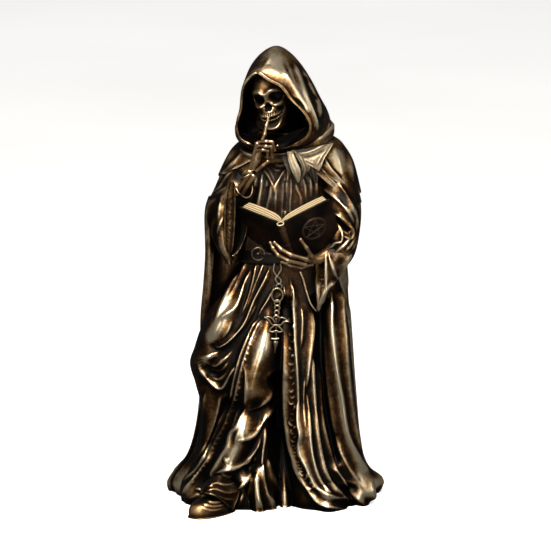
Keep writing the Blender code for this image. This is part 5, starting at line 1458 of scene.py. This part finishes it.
def front_of(solids):
    """A reader of the depth y at which the front elevation meets the solids."""
    points, faces = joined(solids)[:2]
    tree = BVHTree.FromPolygons(points.tolist(), faces)
    into = Vector((0, COS_TILT, -SIN_TILT))

    def depth(u, v):
        far = Vector(place([u, v, 0.0])) - into * GRID_STEPS
        hit = tree.ray_cast(far, into)[0]
        return hit.y if hit else 0.0

    return depth


front = front_of([robe, vest])
half = BELT_WIDTH / GRID / 2
across = np.linspace(-1, 1, 24)[:, None] + np.zeros((1, 220))
belt_swell = BELT_PROUD / GRID * (1 - 0.5 * np.abs(across) ** 6)
belt_grid = oval(ROBE, BELT_HEIGHT + half * across, turns(220, 0.65)[None, :] + 0 * across, belt_swell)
cast("belt", [grid_mesh(belt_grid)], belt_leather)
u, v = BUCKLE_CENTRE
depth = front(u, v) - BELT_PROUD / GRID - 1
radius = BUCKLE_RADIUS / GRID
ring = [(u + radius * math.cos(angle), v + radius * math.sin(angle), depth)
        for angle in np.linspace(0, 2 * math.pi, 24, endpoint=False)]
buckle = [rod(ring, BUCKLE_WIRE / GRID, cols=12, rows_each=3, closed=True),
          rod([(u - 0.6, v, depth - 0.6), (u + 0.8, v + 0.2, depth - 0.8)], 1.1, rows_each=6)]
cast("buckle", buckle, plain_metal)

CHAIN_WIRE = 0.0008
RING_RADIUS = 0.0027
LINK_RADIUS = 0.0016
CHAIN_RINGS = [((1, 213.5), 1.05, 1.0), ((-0.8, 205), 1.6, 0.82), ((-0.8, 197.4), 1.05, 1.0),
               ((-0.8, 192.3), 0.95, 1.0), ((-1.3, 187.6), 0.85, 1.0), ((-1.7, 183.4), 0.8, 1.0)]
TWISTED_LINKS = [
    [(-3.4, 236), (-4.4, 230), (-2, 225), (2.6, 220.4), (2.4, 216.4)],
    [(2, 238), (3, 231), (0.6, 226), (-2.4, 221.4), (-0.4, 217)],
]
PENDANT_ARMS = [
    [(-2, 182), (-2, 174), (-2.1, 163)],
    [(-13.2, 182.8), (-9.4, 180.6), (-6, 176), (-2, 175.6), (2.4, 175.4), (6, 178.6), (10.4, 178.8)],
    [(-13.2, 182.8), (-9, 183.4), (-5.6, 181.6), (-3.4, 178)],
    [(10.4, 178.8), (6.6, 181.8), (3, 182.4), (-0.4, 178.4)],
    [(-5.6, 181.6), (-2, 184.6), (2.4, 182.2)],
    [(-9.2, 169.6), (-6, 173), (-2, 175.4), (2, 172.6), (4.4, 169.6)],
    [(-9.2, 169.6), (-5.4, 168.6), (-2, 169.6), (1.4, 168.4), (4.4, 169.6)],
]
CROSSGUARD = [(-6.6, 162), (-2.6, 161.4), (1, 162)]
BLADE = [(-2.6, 160.4), (-2.7, 158.4), (-3, 153.4), (-3.3, 147)]
wire = CHAIN_WIRE / GRID


def laid(path, rise):
    """A path on the elevation laid on the front of the robe, stood off by some steps."""
    return [(u, v, front(u, v) - rise) for u, v in path]


def level_with(path, rise):
    """A path on the elevation in one plane before the robe's nearest point along it."""
    nearest = min(front(u, v) for u, v in path)
    return [(u, v, nearest - rise) for u, v in path]


chain = [rod(laid(path, 0.9), 0.8 * wire, cols=10, rows_each=6) for path in TWISTED_LINKS]
for (u, v), size, squeeze in CHAIN_RINGS:
    radius = size * (RING_RADIUS if size > 1.2 else LINK_RADIUS) / GRID
    loop = [(u + squeeze * radius * math.cos(angle), v + radius * math.sin(angle))
            for angle in np.linspace(0, 2 * math.pi, 18, endpoint=False)]
    rise = 0.2 if size > 1.2 else 0.9
    chain.append(rod(level_with(loop, rise), 0.85 * wire, cols=12, rows_each=3, closed=True))
chain += [rod(level_with(path, 1.0), 0.95, cols=12, rows_each=5) for path in PENDANT_ARMS]
chain.append(rod(level_with(CROSSGUARD, 1.6), [0.9, 1.3, 0.9], cols=12, rows_each=6))
chain.append(rod(level_with(BLADE, 1.8), [1.6, 3.0, 1.7, 0.3], cols=12, rows_each=8))
cast("chain_and_pendant", chain, plain_metal)


# Shoe
# A round-toed shoe with a welted sole shows under the hem on the viewer's left, cast in one with it.
# Rows of stitching cross its vamp, and the end of a trouser leg is bunched on its instep.

# Cold-cast bronze shoe, rubbed all over its toe: warm brown with a broad, soft shine.
shoe_leather = patina(
    "rubbed_shoe_bronze",
    [(0.16, "050403"), (0.36, "1D130B"), (0.50, "4A3320"),
     (0.64, "8C6A42"), (0.82, "D6B98C"), (1.0, "F6E6CA")],
    metal=(0.7, 0.9), gloss=(0.56, 0.42), mottle=0.35, mottle_mm=3.3)

SOLE_THICKNESS = 0.0020
SHOE_WIDTH = 0.0185
TOE_SLOPE = 0.24
TOE_ROUNDNESS = 0.78
SHOE_HEEL = (-46, -56)
SHOE_TOE = (-84, -103)
TROUSER_END = [
    [(-66, 23, -72), (-59, 26, -76), (-50, 23, -72), (-37, 14, -62)],
    [(-73.4, 15, -84), (-65, 16, -90), (-53, 11, -86), (-40, 2, -72)],
    [(-77, 9.6, -90), (-66, 7.4, -97), (-56, 1.4, -91), (-45, -9.6, -78)],
]
TROUSER_DEPTH = 14
WAIST_NARROWING = 0.16
TROUSER_FOLDS = [
    ([(-79, 10), (-66, 8.4), (-57, 3), (-44, -9)], 1.8, 1.1),
    ([(-38, 20), (-50, 17), (-62, 19), (-72, 14)], 2.6, 1.6),
    ([(-37, 11), (-49, 9), (-62, 13), (-73, 11)], 2.2, 1.4),
    ([(-42, 2), (-52, 3), (-62, 8)], 1.6, 1.2),
]
VAMP_STITCHES = [
    ([(-72, 3), (-66, 0), (-59, 0), (-52, 2)], 1.2, 0.8),
    ([(-75, 0), (-68, -3.6), (-60, -4), (-52, -2)], 1.2, 0.8),
    ([(-77, -3), (-70, -7), (-62, -8), (-53, -6)], 1.0, 0.8),
]


def shoe_loop(height, grow, lift):
    """The shoe's plan at a height, grown or drawn in, with its heel end lifted."""
    heel = np.array(SHOE_HEEL, float)
    along = np.array(SHOE_TOE, float) - heel
    length = np.linalg.norm(along)
    along /= length
    side = np.array([-along[1], along[0]])
    turn = np.linspace(0, 2 * math.pi, 140, endpoint=False)
    reach = 0.5 + 0.5 * np.cos(turn)
    waisted = 1 - WAIST_NARROWING * (1 - np.cos(2.6 * (reach - 0.7)))
    width = SHOE_WIDTH / GRID / 2 * grow * waisted
    far = 1.0 + 0.02 * grow - TOE_SLOPE * (1 - min(grow, 1.0))
    forward = np.sign(np.cos(turn)) * np.abs(np.cos(turn)) ** TOE_ROUNDNESS
    sideways = np.sign(np.sin(turn)) * np.abs(np.sin(turn)) ** TOE_ROUNDNESS
    points = heel + np.outer((0.5 + 0.5 * forward) * far * length, along)
    points = points + np.outer(width * sideways, side)
    return np.column_stack([points, height + lift * (1 - reach)])


sole = SOLE_THICKNESS / GRID
welt = spline([shoe_loop(0, 1.0, 0), shoe_loop(0.25 * sole, 1.06, 0), shoe_loop(0.8 * sole, 1.07, 0),
               shoe_loop(sole, 1.0, 0), shoe_loop(sole, 0.9, 0)], 24)
upper = spline([shoe_loop(0.6 * sole, 0.94, 0), shoe_loop(sole + 4, 0.98, 1), shoe_loop(sole + 8, 0.93, 3),
                shoe_loop(sole + 11, 0.80, 6), shoe_loop(sole + 13, 0.56, 8), shoe_loop(sole + 13.6, 0.26, 9),
                shoe_loop(sole + 13.7, 0.08, 9)], 80)
normal = outward(upper)
if (normal * (upper - upper.mean(axis=(0, 1)))).sum() < 0:
    normal = -normal
stitches = carving(elevation(upper), VAMP_STITCHES) * smooth_step(0, 0.4, normal @ TO_VIEWER)
upper = upper + normal * stitches[..., None]
cast("shoe", [grid_mesh(welt, nudge=-0.08), grid_mesh(upper, nudge=-0.12)], shoe_leather)
trouser_end = plate(TROUSER_END, 70, 90, TROUSER_DEPTH, finer(TROUSER_FOLDS))
cast("trouser_end", [grid_mesh(trouser_end, nudge=0.02, windows=RELIEF_WINDOWS[:2])], bronze_cloth)


# Studio
# A plain pale floor that runs out of sight under a dim, even light from above. A soft light stands
# before and above the figure, a weaker one in front of it, and small ones over it and at its sides.

FLOOR_RADIUS = 30
FLOOR_CLOUDS_MM = 333
# Matt white studio paint, so evenly lit that only a faint cloudiness shows.
floor_paint = bpy.data.materials.new("pale_studio_floor")
floor_paint.use_nodes = True
tree = floor_paint.node_tree
tree.nodes.clear()
where = node(tree, "ShaderNodeTexCoord").outputs["Object"]
cloud = node(tree, "ShaderNodeTexNoise", {"Vector": where, "Scale": 1000 / FLOOR_CLOUDS_MM})
tone = node(tree, "ShaderNodeValToRGB", {"Fac": cloud.outputs["Fac"]},
            stops=[(0.3, "F6F6F5"), (0.7, "FBFBFA")])
shader = node(tree, "ShaderNodeBsdfPrincipled",
              {"Base Color": tone, "Roughness": 0.9, "Emission Color": tone, "Emission Strength": 0.74})
node(tree, "ShaderNodeOutputMaterial", {"Surface": shader})
floor_mesh = bpy.data.meshes.new("studio_floor")
solid = bmesh.new()
bmesh.ops.create_circle(solid, cap_ends=True, segments=96, radius=FLOOR_RADIUS)
solid.to_mesh(floor_mesh)
solid.free()
floor_mesh.materials.append(floor_paint)
floor = bpy.data.objects.new("studio_floor", floor_mesh)
bpy.context.scene.collection.objects.link(floor)
floor.visible_glossy = False


def soft_light(name, position, size, power, tint="FFFFFF"):
    """A soft light with sides in metres and power in watts that faces the middle of the figure."""
    data = bpy.data.lights.new(name, "AREA")
    data.shape = "RECTANGLE"
    data.size, data.size_y = size
    data.energy = power
    data.color = linear(tint)[:3]
    light = bpy.data.objects.new(name, data)
    light.location = position
    light.rotation_euler = (aim - Vector(position)).to_track_quat("-Z", "Y").to_euler()
    bpy.context.scene.collection.objects.link(light)


sky = bpy.data.lights.new("overhead_light", "SUN")
sky.energy = 0.32
sky.angle = math.radians(80)
sky_light = bpy.data.objects.new("overhead_light", sky)
sky_light.rotation_euler = (math.radians(24), math.radians(-10), 0)
bpy.context.scene.collection.objects.link(sky_light)
soft_light("front_light", (-0.15, -1.15, 1.35), (0.55, 0.55), 36, "FFF6E8")
soft_light("fill_light", (0.25, -2.4, 0.35), (1.2, 1.2), 12, "FFF8EE")
soft_light("top_light", (0.24, -0.34, 1.2), (0.32, 0.32), 5, "FFF6E8")
soft_light("right_light", (1.1, -0.5, 0.6), (0.25, 0.9), 1.6, "FFF3E0")
soft_light("left_light", (-0.8, -0.8, 0.45), (0.25, 0.5), 1.3, "FFF3E0")

world = bpy.data.worlds.new("studio_air")
world.use_nodes = True
world.node_tree.nodes["Background"].inputs["Color"].default_value = linear("F2F4F8")
world.node_tree.nodes["Background"].inputs["Strength"].default_value = 0.04
bpy.context.scene.world = world
bpy.context.scene.view_settings.view_transform = "Standard"
